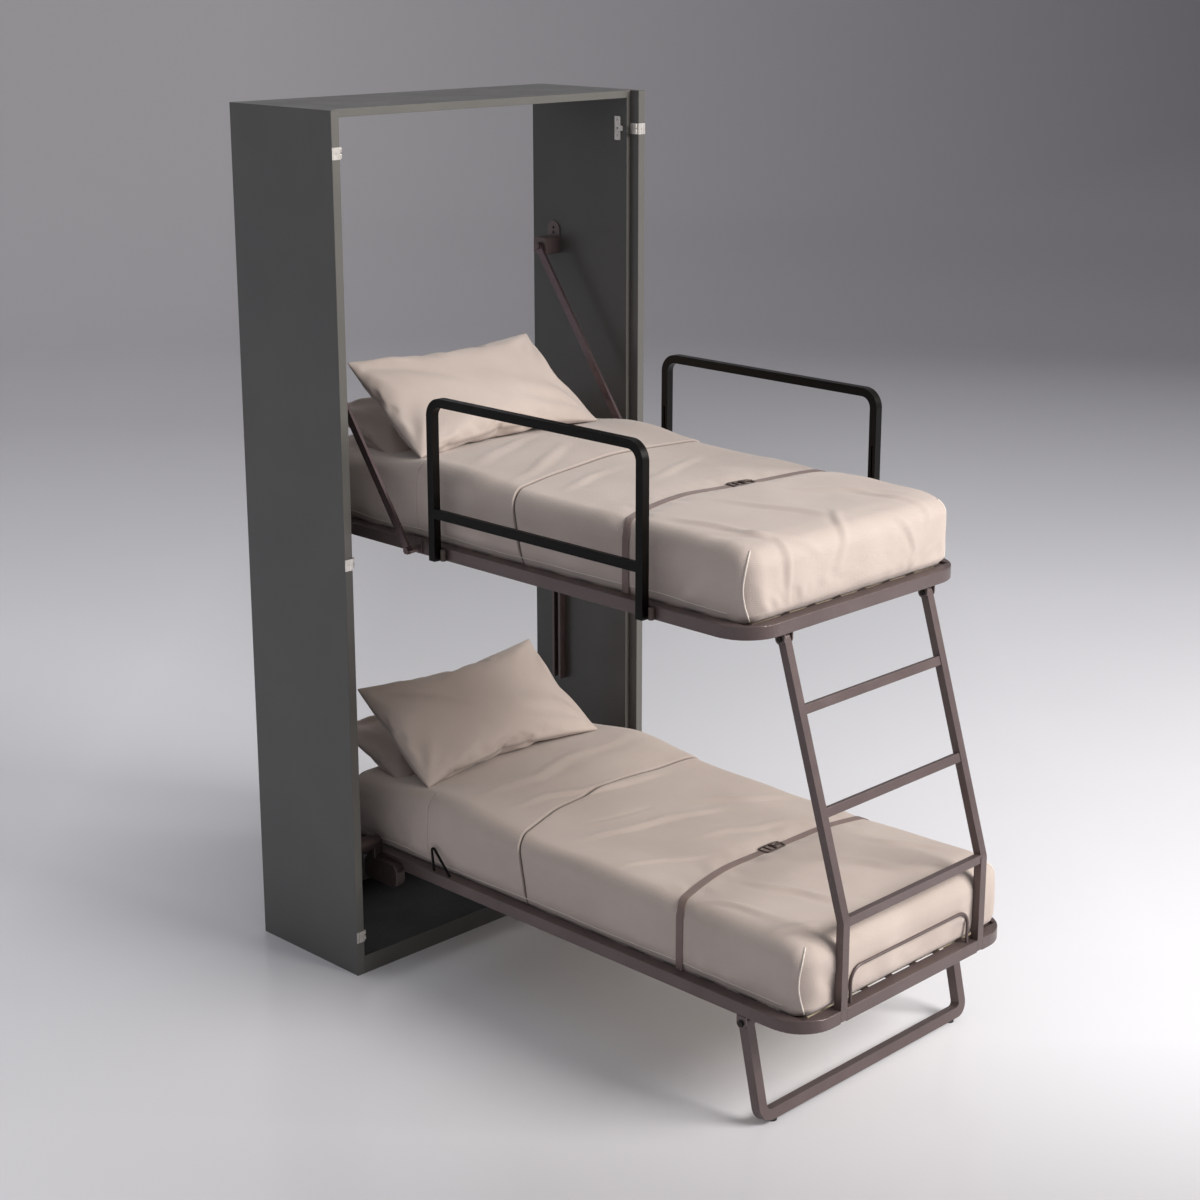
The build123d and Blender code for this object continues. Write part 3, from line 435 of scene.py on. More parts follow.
@dataclass(frozen=True)
class WovenCloth(Finish):
    """Woven cotton, dyed and washed: a plain weave, a soft nap and faint wash marks.

    The weave follows the cloth through its own UV map, in metres. Threads of 0.3 mm are far too
    fine for the picture, so they are drawn grain_mm apart. The attribute named fold darkens the
    cloth in its seams with painted shade, and with the stitching's darker thread.
    """

    # Painted shade in the seams, with their darker thread
    seam: str = "#2b221e"
    follows_uv: bool = True
    nap_share: float = 2.6

    def height(self, tree: Tree, where: Socket) -> Socket:
        """The weave, two crossed waves multiplied, with the nap's noise over it."""
        lies = where
        if self.follows_uv:
            lies = add_node(tree, "UVMap", uv_map="cloth").outputs["UV"]
        threads = [
            add_node(tree, "TexWave", {
                "Vector": lies, "Scale": wave_scale(self.grain_mm), "Distortion": 1.2,
                "Detail": 2.0, "Detail Scale": 1.5,
            }, bands_direction=direction).outputs["Fac"]
            for direction in ("X", "Y")
        ]
        weave = add_node(tree, "Math", tuple(threads), operation="MULTIPLY")
        nap = add_node(tree, "TexNoise", {
            "Vector": where, "Scale": per_metre(self.grain_mm * self.nap_share), "Detail": 5.0,
            "Roughness": 0.7,
        })
        both = add_node(tree, "Math", (nap.outputs["Fac"], 1.4, weave.outputs["Value"]),
                        operation="MULTIPLY_ADD")
        return both.outputs["Value"]

    def colour(self, tree: Tree, where: Socket, height: Socket) -> Socket:
        """The dye's colour with faint flecks on the threads, and painted shade in the seams."""
        flecks = add_node(tree, "MapRange", (height, 0.3, 1.9, 0.975, 1.025)).outputs["Result"]
        dyed = super().colour(tree, where, height)
        tinted = add_node(tree, "VectorMath", {0: dyed, "Scale": flecks}, operation="SCALE")
        # The attribute named fold gives the share of painted shade
        fold = add_node(tree, "Attribute", attribute_name="fold")
        mixed = add_node(tree, "Mix", {
            0: fold.outputs["Fac"], 6: tinted.outputs["Vector"], 7: linear(self.seam),
        }, data_type="RGBA")
        return mixed.outputs[2]


FINISHES: dict[Slot, Finish] = {
    # Matt lacquered chipboard: a dark warm grey, almost without reflections
    Slot.LACQUER: LacqueredBoard("lacquered_board", "#575654", "#525150", 0.36, 0.05,
                                 cloud_mm=420, grain_mm=14, grain_height_mm=0.12),
    # Powder-coated tube: brown mauve with a metallic glint
    Slot.BED_METAL: PowderCoat("textured_powder_coat", "#695c5b", "#605352", 0.36, 0.05, 0.35,
                               cloud_mm=160, grain_mm=4, grain_height_mm=0.15),
    # Satin powder coat: near black, a tighter highlight along its edges
    Slot.BLACK_METAL: PowderCoat("satin_black_coat", "#080604", "#070503", 0.36, 0.04, 0.0,
                                 cloud_mm=120, grain_mm=4, grain_height_mm=0.06,
                                 specular=0.16, rubbed="#0c0a07"),
    # Nickel-plated steel: bright, slightly warm, with soft cloudy gloss
    Slot.BRIGHT_STEEL: BrushedSteel("nickelled_steel", "#dedad5", "#cac6c0", 0.3, 0.06, 0.6,
                                    cloud_mm=30, grain_height_mm=0.05),
    # Blackened steel bolts: dark, oily and half glossy
    Slot.DARK_STEEL: BrushedSteel("blackened_steel", "#3a3635", "#2c2928", 0.36, 0.08, 0.9,
                                  cloud_mm=24, grain_height_mm=0.05),
    Slot.SLAT_WOOD: BirchPly("birch_plywood", "#e8dcc6", "#d8c7a8", 0.5, 0.06,
                             cloud_mm=120, grain_mm=6, grain_height_mm=0.2),
    # Injection-moulded nylon: even, slightly waxy
    Slot.MOULDING: Finish("moulded_nylon", "#51453f", "#473c37", 0.42, 0.05, cloud_mm=60,
                          grain_mm=4, grain_height_mm=0.08),
    # Mattress ticking: pale polyester cotton, tighter and smoother than the bedding
    Slot.FOAM: WovenCloth("mattress_ticking", "#e4dcd4", "#d9d0c7", 0.8, 0.04, cloud_mm=90,
                          grain_mm=5, grain_height_mm=0.3, sheen=0.15, follows_uv=False),
    # Bedding: washed cotton satin, warm pale grey with a soft nap
    Slot.BEDDING: WovenCloth("washed_cotton", "#c9bcb4", "#bfb1a9", 0.84, 0.05, cloud_mm=260,
                             grain_mm=5, grain_height_mm=0.35, sheen=0.25, specular=0.25),
    # Polyester webbing: ribbed, mauve brown
    Slot.WEBBING: WovenCloth("ribbed_webbing", "#84706b", "#776460", 0.62, 0.05, cloud_mm=70,
                             grain_mm=4, grain_height_mm=0.5, sheen=0.2),
    Slot.RUBBER: Finish("moulded_rubber", "#262524", "#1e1d1c", 0.72, 0.05, cloud_mm=20,
                        grain_mm=3, grain_height_mm=0.1),
}

# The base board is the same lacquer, painted near-black on its upper side: painted shade, cast by
# the lower bed above it
BASE_BOARD_SHADED_TOP = LacqueredBoard("lacquered_base_board_shaded_top", "#575654", "#525150", 0.5, 0.05,
                            cloud_mm=420, grain_mm=14, grain_height_mm=0.12, specular=0.2,
                            painted_top_shade="#0e0d0d")
# The pivots' housings and wall brackets have the bed's coat painted darker: painted shade, as they
# sit inside the cabinet
SHADED_HOUSING_COAT = PowderCoat("shaded_powder_coat", "#4a3e3d", "#403534", 0.34, 0.05, 0.4,
                          cloud_mm=120, grain_mm=4, grain_height_mm=0.2, rubbed="#564847")
# The stay arms' coat is smoother and more metallic, and takes long highlights
ARM_COAT = PowderCoat("smooth_metallic_coat", "#6a5a5c", "#5f5052", 0.24, 0.03, 0.7,
                      cloud_mm=300, grain_mm=4, grain_height_mm=0.03, rubbed="#7d6d6f")
# The inner linings are painted darker than the outer boards: painted shade, as they stand inside
# the cabinet
SHADED_LINING_BOARD = LacqueredBoard("shaded_lacquered_lining_board", "#4e4d4b", "#494846", 0.38, 0.05,
                              cloud_mm=420, grain_mm=14, grain_height_mm=0.12)


class Wardrobe:
    """Makes each finish once and hands it out."""

    def __init__(self) -> None:
        """Starts with no material made."""
        self.made: dict[Slot, Material] = {}

    def get(self, slot: Slot) -> Material:
        """The material of a slot, made at its first use."""
        if slot not in self.made:
            self.made[slot] = FINISHES[slot].make()
        return self.made[slot]

    def dress(self, piece: Piece, slot: Slot) -> None:
        """Puts a slot's finish on a new piece."""
        piece.data.materials.clear()
        piece.data.materials.append(self.get(slot))

    def dress_cad(self) -> None:
        """Puts the finishes on every CAD node's material slots."""
        named = {slot.value: slot for slot in Slot}
        for name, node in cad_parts.items():
            for holder in node.material_slots:
                key = holder.material.name.split(".")[0]
                if key in named:
                    holder.material = self.get(named[key])
                else:
                    LOG.warning("%s has no finish for %s", name, key)
        shaded_top_base, shaded_lining, shaded_housing, arm = (
            finish.make() for finish in (BASE_BOARD_SHADED_TOP, SHADED_LINING_BOARD, SHADED_HOUSING_COAT, ARM_COAT)
        )
        # The base board's top, the linings, the housings and the wall brackets carry painted shade
        special = {"base_panel": shaded_top_base}
        for side in ("left", "right"):
            special |= {f"side_lining_{side}": shaded_lining, f"pivot_housing_{side}": shaded_housing,
                        f"wall_bracket_{side}": shaded_housing, f"stay_arm_{side}": arm}
        for name, material in special.items():
            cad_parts[name].material_slots[0].material = material


# Mesh helpers


def make_piece(name: str, points: Array, faces: Array | list, body: str,
               smooth: bool = True) -> Piece:
    """Puts points and faces into a mesh object that rides on a body.

    Args:
        name: The piece's name.
        points: Vertex places, one row each, in metres.
        faces: Vertex numbers of each face.
        body: The CAD body that carries the piece.
        smooth: Whether the faces are shaded smooth.

    Returns:
        The new object, linked to the scene.
    """
    mesh = bpy.data.meshes.new(name)
    mesh.from_pydata(points.reshape(-1, 3).tolist(), [], [list(face) for face in faces])
    mesh.polygons.foreach_set("use_smooth", np.full(len(mesh.polygons), smooth))
    mesh.update()
    piece = bpy.data.objects.new(name, mesh)
    bpy.context.scene.collection.objects.link(piece)
    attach(piece, body)
    return piece


def grid_faces(rows: int, columns: int, wrap: bool = False) -> Array:
    """Quads of a grid of points stored row by row, facing rows x columns.

    Args:
        rows: Number of rows.
        columns: Points in a row.
        wrap: Whether the last column joins the first.

    Returns:
        An array of four vertex numbers per face.
    """
    column = np.arange(columns if wrap else columns - 1)
    row = np.arange(rows - 1)[:, None]
    here = row * columns + column
    beside = row * columns + (column + 1) % columns
    faces = np.stack([here, beside, beside + columns, here + columns], axis=-1)
    return faces.reshape(-1, 4)


def capped_tube(rings: int, sides: int) -> list:
    """Faces of a tube that is stored ring by ring, with a face over each end.

    Args:
        rings: Number of rings.
        sides: Points in a ring.

    Returns:
        The faces, which look outward where the rings turn to the left about their way ahead.
    """
    last = (rings - 1) * sides
    ends = [list(range(sides))[::-1], [last + k for k in range(sides)]]
    return grid_faces(rings, sides, True).tolist() + ends


def ripple(across: Array, along: Array, wavelength: float, seed: int) -> Array:
    """Smooth waves: the mean of seven sines of random direction, phase and length.

    Args:
        across: First coordinate of each point, in metres.
        along: Second coordinate of each point.
        wavelength: Typical distance between crests.
        seed: Seed of the random directions.

    Returns:
        Heights that stay mostly between -1 and 1.
    """
    number = 7
    chance = np.random.default_rng(seed)
    heading = chance.uniform(0, TURN, number)
    phase = chance.uniform(0, TURN, number)
    length = wavelength * chance.uniform(0.7, 1.5, number)
    shape = (number,) + (1,) * np.ndim(across)
    travel = (across * np.cos(heading).reshape(shape) + along * np.sin(heading).reshape(shape))
    waves = np.sin(TURN * travel / length.reshape(shape) + phase.reshape(shape))
    # Seven sines of chance phase seldom add up to more than this
    return waves.sum(axis=0) / 3.2


def bump_at(distance: Array, width: float) -> Array:
    """A bell: one at no distance, falling off over width."""
    return np.exp(-((distance / width) ** 2))


def smooth_step(value: Array, low: float, high: float) -> Array:
    """Zero below low, one above high, and an S-shaped rise between."""
    share = np.clip((value - low) / (high - low), 0, 1)
    return share * share * (3 - 2 * share)


def sweep(path: Array, normal: Array, radius: float, sides: int, closed: bool = False
          ) -> tuple[Array, list]:
    """Carries a circle along a path.

    Each point of the path gets a circle in the plane of the given normal and of the direction
    that is square to it and to the path.

    Args:
        path: Points of the path, one row each.
        normal: A direction roughly square to the path at each point.
        radius: The circle's radius.
        sides: Corners of the circle.
        closed: Whether the path joins its own start.

    Returns:
        The tube's points and its faces, with both ends of an open path closed.
    """
    ahead = np.gradient(path, axis=0)
    if closed:
        ahead = np.roll(path, -1, axis=0) - np.roll(path, 1, axis=0)
    ahead = ahead / np.linalg.norm(ahead, axis=1)[:, None]
    beside = np.cross(ahead, normal)
    beside = beside / np.linalg.norm(beside, axis=1)[:, None]
    above = np.cross(beside, ahead)
    angle = np.arange(sides) / sides * TURN
    circle = (np.cos(angle)[None, :, None] * beside[:, None, :]
              + np.sin(angle)[None, :, None] * above[:, None, :])
    points = (path[:, None, :] + radius * circle).reshape(-1, 3)
    if closed:
        return points, (grid_faces(len(path) + 1, sides, True)[:, ::-1] % len(points)).tolist()
    return points, [face[::-1] for face in capped_tube(len(path), sides)]


def drawn_out(angle: Array, power: float) -> tuple[Array, Array]:
    """A circle's cosine and sine drawn out to a power, which makes it squarer."""
    along, up = np.cos(angle), np.sin(angle)
    return np.sign(along) * np.abs(along) ** power, np.sign(up) * np.abs(up) ** power


def join(parts: list[tuple[Array, list]]) -> tuple[Array, list]:
    """Puts several meshes into one, with each one's vertex numbers moved up past the last's."""
    points, faces, total = [], [], 0
    for places, shapes in parts:
        points.append(places)
        faces.extend((np.array(shape) + total).tolist() for shape in shapes)
        total += len(places)
    return np.concatenate(points), faces


def add_uv(piece: Piece, coordinates: Array) -> None:
    """Gives a piece a UV map named cloth, from one pair of values per vertex."""
    mesh = piece.data
    corners = np.zeros(len(mesh.loops), dtype=np.int32)
    mesh.loops.foreach_get("vertex_index", corners)
    layer = mesh.uv_layers.new(name="cloth")
    layer.data.foreach_set("uv", coordinates.reshape(-1, 2)[corners].astype(np.float32).ravel())


def add_painted_shade(piece: Piece, values: Array) -> None:
    """Gives a piece the attribute named fold, one value per vertex: its share of painted shade."""
    attribute = piece.data.attributes.new("fold", "FLOAT", "POINT")
    attribute.data.foreach_set("value", values.astype(np.float32).ravel())


# Bedding


@dataclass
class Cushion:
    """A sheet laid over a soft block, in metres, that all the bedding is worked out from.

    The sheet is laid out flat in two coordinates, across and along. A point lies `beyond` the
    flat top by the larger of its two overhangs. It turns over the edge through the angle
    beyond / edge, up to a quarter turn, and then hangs straight down. Each square ring of the
    flat sheet lands on a rounded rectangle, whose corners are quarter circles.
    """

    low: tuple[float, float, float]
    high: tuple[float, float, float]
    edge: float
    corner: float
    crown: float
    # Shares of the half width and half length past which the sides are drawn in
    drawn_in_shares: tuple[float, float] = (0.35, 0.55)

    @property
    def half(self) -> tuple[float, float]:
        """Half of the width and of the length."""
        return ((self.high[0] - self.low[0]) / 2, (self.high[1] - self.low[1]) / 2)

    @property
    def middle_y(self) -> float:
        """Where the middle lies along the bed."""
        return (self.high[1] + self.low[1]) / 2

    @property
    def drop(self) -> float:
        """How far the sheet hangs from its top to its hem."""
        return self.high[2] - self.low[2]

    @property
    def overhang(self) -> float:
        """Length of the sheet from the flat top to the hem."""
        return self.edge * math.pi / 2 + self.drop - self.edge

    def reach(self) -> tuple[float, float]:
        """Half of the flat sheet's width and length."""
        return tuple(side - self.edge + self.overhang for side in self.half)

    def lay(self, across: Array, along: Array, lift: Array | float = 0.0
            ) -> tuple[Array, Array, Array]:
        """Maps flat coordinates onto the block.

        Args:
            across: Flat coordinate over the width, from the middle.
            along: Flat coordinate over the length, as a place on Y.
            lift: Height above the sheet, along its normal.

        Returns:
            Places, normals, and how far down the side each point hangs, from 0 to 1.
        """
        inner_x, inner_y = (side - self.edge for side in self.half)
        forth = along - self.middle_y
        over_x = np.abs(across) - inner_x
        over_y = np.abs(forth) - inner_y
        beyond = np.maximum(over_x, over_y)
        turn = np.clip(beyond / self.edge, 0, math.pi / 2)
        out = np.where(beyond > 0, self.edge * np.sin(turn), beyond)
        sag_end = self.crown * np.clip(np.abs(across) / self.half[0], 0, 1) ** 2
        hang = np.maximum(beyond - self.edge * math.pi / 2, 0)
        hang = hang * (self.drop - sag_end - self.edge) / (self.drop - self.edge)
        fall = self.edge * (1 - np.cos(turn)) + hang
        outside = beyond > 0
        wide = np.where(outside, (inner_x + out) / np.maximum(inner_x + beyond, 1e-6), 1)
        long = np.where(outside, (inner_y + out) / np.maximum(inner_y + beyond, 1e-6), 1)
        # Between its corners the sheet hangs straight down; it is drawn in only near them
        near_x = smooth_step(np.abs(across) / inner_x, self.drawn_in_shares[0], 1)
        near_y = smooth_step(np.abs(forth) / inner_y, self.drawn_in_shares[1], 1)
        wide = 1 + (wide - 1) * np.where(over_x >= over_y, 1, near_x)
        long = 1 + (long - 1) * np.where(over_y >= over_x, 1, near_y)
        x = np.abs(across) * wide
        y = np.abs(forth) * long
        radius = np.maximum(self.corner - self.edge + out, 1e-6)
        past_x = (x - (inner_x + out - radius)) / radius
        past_y = (y - (inner_y + out - radius)) / radius
        cornered = (past_x > 0) & (past_y > 0)
        angle = np.clip(math.pi / 4 * (1 + past_y - past_x), 0, math.pi / 2)
        x = np.where(cornered, inner_x + out - radius + radius * np.cos(angle), x)
        y = np.where(cornered, inner_y + out - radius + radius * np.sin(angle), y)
        side_x = np.where(cornered, np.cos(angle), (over_x >= over_y).astype(float))
        side_y = np.where(cornered, np.sin(angle), (over_x < over_y).astype(float))
        sign_x, sign_y = np.sign(across), np.sign(forth)
        normal = np.stack([
            sign_x * side_x * np.sin(turn), sign_y * side_y * np.sin(turn), np.cos(turn),
        ], axis=-1)
        place = np.stack([
            sign_x * x, self.middle_y + sign_y * y, self.high[2] - sag_end - fall,
        ], axis=-1)
        place = place + normal * np.asarray(lift)[..., None]
        return place, normal, np.clip(fall / self.drop, 0, 1)

    def close(self, piece_points: Array, rows: int, columns: int, inset: float, raise_by: float
              ) -> tuple[Array, Array, list]:
        """Turns a grid's hem under and closes it with one flat face.

        Args:
            piece_points: The grid's points, rows x columns x 3.
            rows: Number of rows.
            columns: Points in a row.
            inset: How far the hem turns in.
            raise_by: Height of the closing face above the lowest point of the hem.

        Returns:
            All the points, the strip's quads, and the closing face.
        """
        number = np.arange(rows * columns).reshape(rows, columns)
        ring = np.concatenate([
            number[0, :-1], number[:-1, -1], number[-1, :0:-1], number[:0:-1, 0],
        ])
        flat = piece_points.reshape(-1, 3)
        rim = flat[ring]
        centre = np.array([0.0, self.middle_y])
        inward = rim.copy()
        span = np.array(self.half)
        inward[:, :2] = centre + (rim[:, :2] - centre) * (1 - inset / span)
        inward[:, 2] = self.low[2] + raise_by
        first = rows * columns
        follow = np.roll(np.arange(len(ring)), -1)
        inner = first + np.arange(len(ring))
        strip = np.stack([ring[follow], ring, inner, inner[follow]], axis=-1)
        return np.concatenate([flat, inward]), strip, [list(inner[::-1])]


# Creases of the two covers: start and end across and along the bed from the cabinet's front,
# then half width and height, all in millimetres
LOWER_CREASES = (
    (-400, -260, 420, -190, 22, 5.6), (-345, -360, 290, -455, 16, 5.4),
    (-380, -640, 220, -790, 19, 6.0), (-390, -870, -120, -990, 12, 5.4),
    (-250, -560, 60, -640, 11, -3.4), (-400, -1160, -320, -1420, 12, 5.0),
    (-200, -1170, -90, -1560, 18, 6.0), (60, -1180, 230, -1540, 20, 5.2),
    (-410, -1440, -180, -1590, 16, 5.6), (250, -1200, 380, -1480, 14, 4.6),
    (120, -640, 400, -900, 19, 4.6), (-80, -880, 260, -1010, 17, 4.2),
)
UPPER_CREASES = (
    (-330, -1010, -280, -1400, 17, 5.8), (-260, -1330, -360, -1500, 13, 5.8),
    (150, -1010, 380, -1300, 17, 5.2), (-400, -1180, -150, -1420, 15, 6.0),
    (-90, -930, 10, -1320, 20, 5.2), (60, -1240, -110, -1480, 14, 5.6),
    (250, -1120, 330, -1440, 13, 5.2), (-420, -285, 120, -60, 19, 5.4),
    (-330, -590, 0, -500, 16, 5.0), (-410, -480, 60, -240, 17, 5.2),
    (-100, -690, 300, -560, 18, 4.6), (130, -1330, 300, -1490, 12, 4.6),
)


@dataclass(frozen=True)
class Padding:
    """How the padded cover stands off its block, as heights and lengths in metres."""

    # The padding's even height, its share left at the foot, and how far from there it grows
    puff: float = 0.020
    foot_share: float = 0.3
    foot_taper: float = 0.1
    # A swell before the pillows: its height, its reach and its distance from the front
    swell: float = 0.028
    swell_reach: float = 0.2
    # The strap holds the cover down this far to each side of its line
    strap_hold: float = 0.046
    # The strap's height at the buckle, what it rises beside it, and from where to where
    strap_low: float = 0.004
    strap_lift: float = 0.010
    strap_lift_span: tuple[float, float] = (0.05, 0.26)
    # Broad waves: height and length of each set
    waves: tuple[tuple[float, float], ...] = ((0.0034, 0.47), (0.0014, 0.19))
    # Faint ridges everywhere, and how far the creases' lines waver
    ridge: tuple[float, float] = (0.0012, 0.33)
    waver: tuple[float, float] = (0.010, 0.24)
    # The hollow beside a crease: its share of the height, and how many widths away it lies
    crease_hollow: tuple[float, float] = (0.45, 1.7)
    # Flutes down the sides, the shares of the way down between which they grow, their slant,
    # and how much less they are at the foot
    flute: tuple[float, float] = (0.0044, 0.14)
    flute_span: tuple[float, float] = (0.05, 0.7)
    flute_slant: float = 0.05
    foot_easing: float = 0.2
    # Finer flutes at the foot, in patches of a wave between two of its values
    foot_flute: tuple[float, float] = (0.0034, 0.08)
    foot_flute_span: tuple[float, float] = (0.1, 0.5)
    foot_flute_slant: float = 0.03
    foot_patch: float = 0.35
    foot_patch_span: tuple[float, float] = (-0.3, 0.8)
    # The sides' belly, the foot's, and how much less they are at a corner
    belly: float = 0.0085
    foot_belly: float = 0.0035
    corner_easing: float = 0.35
    # The flutes are gone this near to a corner, and the foot's way takes over across it
    corner_calm: float = 0.035
    corner_blend: float = 0.03
    # The main seam's lip, where it rises, and where this share of it sinks away again
    lip: float = 0.0058
    lip_rise: tuple[float, float] = (-0.0006, 0.0026)
    lip_sink: tuple[float, float] = (0.03, 0.4)
    lip_sunk: float = 0.7
    # The main seam's groove and how far before the seam it lies, and the second's groove
    groove: tuple[float, float] = (0.0046, 0.0018)
    groove_before: float = 0.0015
    second_groove: tuple[float, float] = (0.0026, 0.0026)
    # Shade in the main seam as share, place before it and half width, and in the second
    seam_shade: tuple[tuple[float, float, float], ...] = (
        (1.0, 0.0014, 0.0021), (0.14, 0.004, 0.004),
    )
    second_shade: tuple[float, float] = (0.2, 0.0022)
    under_shade: float = 0.3
    # Gathers beside the strap
    gather: tuple[float, float] = (0.0016, 0.16)
    # The cover's own thickness: free, under the strap and at the hem
    thick: float = 0.002
    under_strap: float = 0.0028
    at_hem: float = 0.0012
    # Shares of the way down between which the waves fade into the straight hem
    hem_span: tuple[float, float] = (0.78, 0.97)
    # The hem is tucked in from this share on, by more near the foot, and drawn down a little
    tuck_from: float = 0.9
    tuck: float = 0.007
    foot_tuck: float = 0.013
    foot_reach: float = 0.06
    foot_blend: float = 0.05
    tuck_down: float = 0.005


@dataclass(frozen=True)
class Buckle:
    """A strap's buckle, in metres: a bent frame with two cross bars and a tongue.

    The frame is a round rod carried along a rounded rectangle, whose points are the cosine and
    sine of an angle drawn out to a power.
    """

    half: tuple[float, float] = (0.0405, 0.0195)
    squareness: float = 0.4
    frame_radius: float = 0.0036
    # Each bar's place along the strap, how high it is bent up, and its radius
    bars: tuple[tuple[float, float, float], ...] = (
        (-0.017, 0.0012, 0.0026), (0.006, 0.0034, 0.0034),
    )
    # The tongue's places along the strap with their heights, and its radius
    tongue: tuple[tuple[float, float], ...] = (
        (0.006, 0.0034), (0.020, 0.0044), (0.0405, 0.0026),
    )
    tongue_radius: float = 0.0030
    # The frame's middle lies this high above the CAD buckle's lowest point
    above: float = 0.0042

    def mesh(self) -> tuple[Array, list]:
        """The buckle's points and faces about the origin, with the strap along X."""
        half_x, half_y = self.half
        around = np.arange(40) / 40 * TURN
        frame_x, frame_y = drawn_out(around, self.squareness)
        loop = np.stack([frame_x * half_x, frame_y * half_y, around * 0], axis=-1)
        rods = [(loop, self.frame_radius, True)]
        for x, height, radius in self.bars:
            bar = np.array([[x, -half_y, 0.0], [x, 0.0, height], [x, half_y, 0.0]])
            rods.append((bar, radius, False))
        tongue = np.array([[x, 0.0, height] for x, height in self.tongue])
        rods.append((tongue, self.tongue_radius, False))
        up = np.array([[0.0, 0.0, 1.0]])
        return join([sweep(path, up, radius, 10, closed) for path, radius, closed in rods])


@dataclass
class Bedding:
    """One bed's padded cover, its piping, its mattress's ticking, its strap and its buckle.

    The seams' places across and along the bed, and the strap's three places along it, at its
    left end, its middle and its right end, are millimetres from the cabinet's front.
    """

    bed: Bed
    seam_across: tuple[float, ...]
    seam_along: tuple[float, ...]
    second_seam: float
    strap_along: tuple[float, float, float]
    seed: int
    creases: tuple[tuple[float, ...], ...]
    padding: Padding = Padding()
    edge: float = 0.042
    corner: float = 0.052
    # The grid's step, and the finer steps to each side of a seam
    step: float = 0.0075
    fine_step: float = 0.0012
    fine_steps: int = 12
    # From where to where beside the main seam the grid's rows turn straight again
    straighten: tuple[float, float] = (0.02, 0.29)
    strap_half: float = 0.4339
    strap_width: float = 0.026
    strap_thick: float = 0.0022
    strap_clear: float = 0.0037
    # How far the strap runs on past the hem, the height it ends at, and its waver
    strap_past: float = 0.004
    strap_end: float = 0.0004
    strap_waver: tuple[float, float] = (0.0012, 0.3)
    strap_buckle: Buckle = Buckle()
    # The corners' piping: its radius, its start and its end down the edge, bow and lift
    piping_radius: float = 0.0023
    piping_start: float = 0.016
    piping_end: float = 0.004
    piping_bow: float = 0.011
    piping_lift: float = 0.0006
    # The cord in the hem: its radius, its height above the hem, its waves and its lift
    hem_cord_radius: float = 0.0012
    hem_cord_above: float = 0.017
    hem_cord_wave: tuple[float, float] = (0.004, 0.5)
    hem_cord_lift: float = 0.0004
    # The ticking's points across and along, and its gap to the mattress's sides and ends
    ticking_grid: tuple[int, int] = (72, 140)
    ticking_gap: float = 0.0015
    ticking_end_gap: float = 0.001
    # Folded away, the bedding would be pressed to this share by the bed or the wall behind it
    folded_share: float = 0.72

    def cushion(self) -> Cushion:
        """The block that the cover follows, from the CAD quilt's box."""
        return Cushion(*self.bed.box("quilt"), self.edge, self.corner, 0.0)

    def seam_y(self, across: Array) -> Array:
        """Where the main seam crosses the bed, as a smooth line through its given places."""
        across_m = np.array(self.seam_across) * MM
        along_m = FRONT_Y + np.array(self.seam_along) * MM
        shape = np.polyfit(across_m, along_m, 5)
        return np.polyval(shape, np.clip(across, across_m[0], across_m[-1]))

    def second_y(self) -> float:
        """Where the second seam crosses the bed."""
        return FRONT_Y + self.second_seam * MM

    def strap_y(self, across: Array) -> Array:
        """Where the strap crosses the bed: a circle's arc through its three places, in plan."""
        left, middle, right = (FRONT_Y - value * MM for value in self.strap_along)
        half = self.strap_half
        slope = (right - left) / (2 * half)
        rise = middle - (left + right) / 2
        bow = (half * half + rise * rise) / (2 * rise)
        within = np.clip(across, -half, half)
        return middle + slope * within - (bow - np.sqrt(bow * bow - within * within))

    def rows(self, block: Cushion) -> Array:
        """Places of the grid's rows along the flat sheet, close together at the two seams."""
        reach = block.reach()[1]
        start, end = block.middle_y - reach, block.middle_y + reach
        places = [start]
        for seam in (float(self.seam_y(np.array(0.0))), self.second_y()):
            fine = np.arange(-self.fine_steps, self.fine_steps + 1) * self.fine_step + seam
            count = int((fine[0] - places[-1]) / self.step)
            places.extend(np.linspace(places[-1], fine[0], count)[1:].tolist())
            places.extend(fine[1:].tolist())
        count = int((end - places[-1]) / self.step)
        places.extend(np.linspace(places[-1], end, count)[1:].tolist())
        return np.array(places)

    def sheet(self, block: Cushion) -> tuple[Array, Array]:
        """The flat grid, whose rows bend to follow the main seam and then fade back straight."""
        reach = block.reach()[0]
        across = np.linspace(-reach, reach, int(2 * reach / self.step))
        rows = self.rows(block)
        seam_middle = float(self.seam_y(np.array(0.0)))
        fade = 1 - smooth_step(np.abs(rows - seam_middle), *self.straighten)
        shift = self.seam_y(across) - seam_middle
        along = rows[:, None] + fade[:, None] * shift[None, :]
        return np.broadcast_to(across, along.shape), along

    def near_strap(self, across: Array, along: Array) -> Array:
        """How much the strap holds the cover down: one under it, zero a hand away."""
        return bump_at(along - self.strap_y(across), self.padding.strap_hold)

    def strap_rise(self, across: Array) -> Array:
        """How far the strap's line lies above the block: least under the buckle."""
        pad = self.padding
        low, high = self.bed.box("buckle")
        away = np.abs(across - (low[0] + high[0]) / 2)
        return pad.strap_low + pad.strap_lift * smooth_step(away, *pad.strap_lift_span)

    def rise(self, across: Array, along: Array, block: Cushion) -> Array:
        """How far the padding lifts the cover's top above the block.

        It is puffed evenly, swells before the pillows, thins toward the foot, and is held down
        by the strap.

        Args:
            across: Flat coordinate over the width.
            along: Flat coordinate over the length.
            block: The block under the cover.

        Returns:
            Heights in metres.
        """
        pad = self.padding
        foot = smooth_step(along - block.low[1], 0.0, pad.foot_taper)
        foot = pad.foot_share + (1 - pad.foot_share) * foot
        swell = pad.swell * bump_at(along - (FRONT_Y - pad.swell_reach), pad.swell_reach)
        near = self.near_strap(across, along)
        return (pad.puff + swell) * foot * (1 - near) + self.strap_rise(across) * near

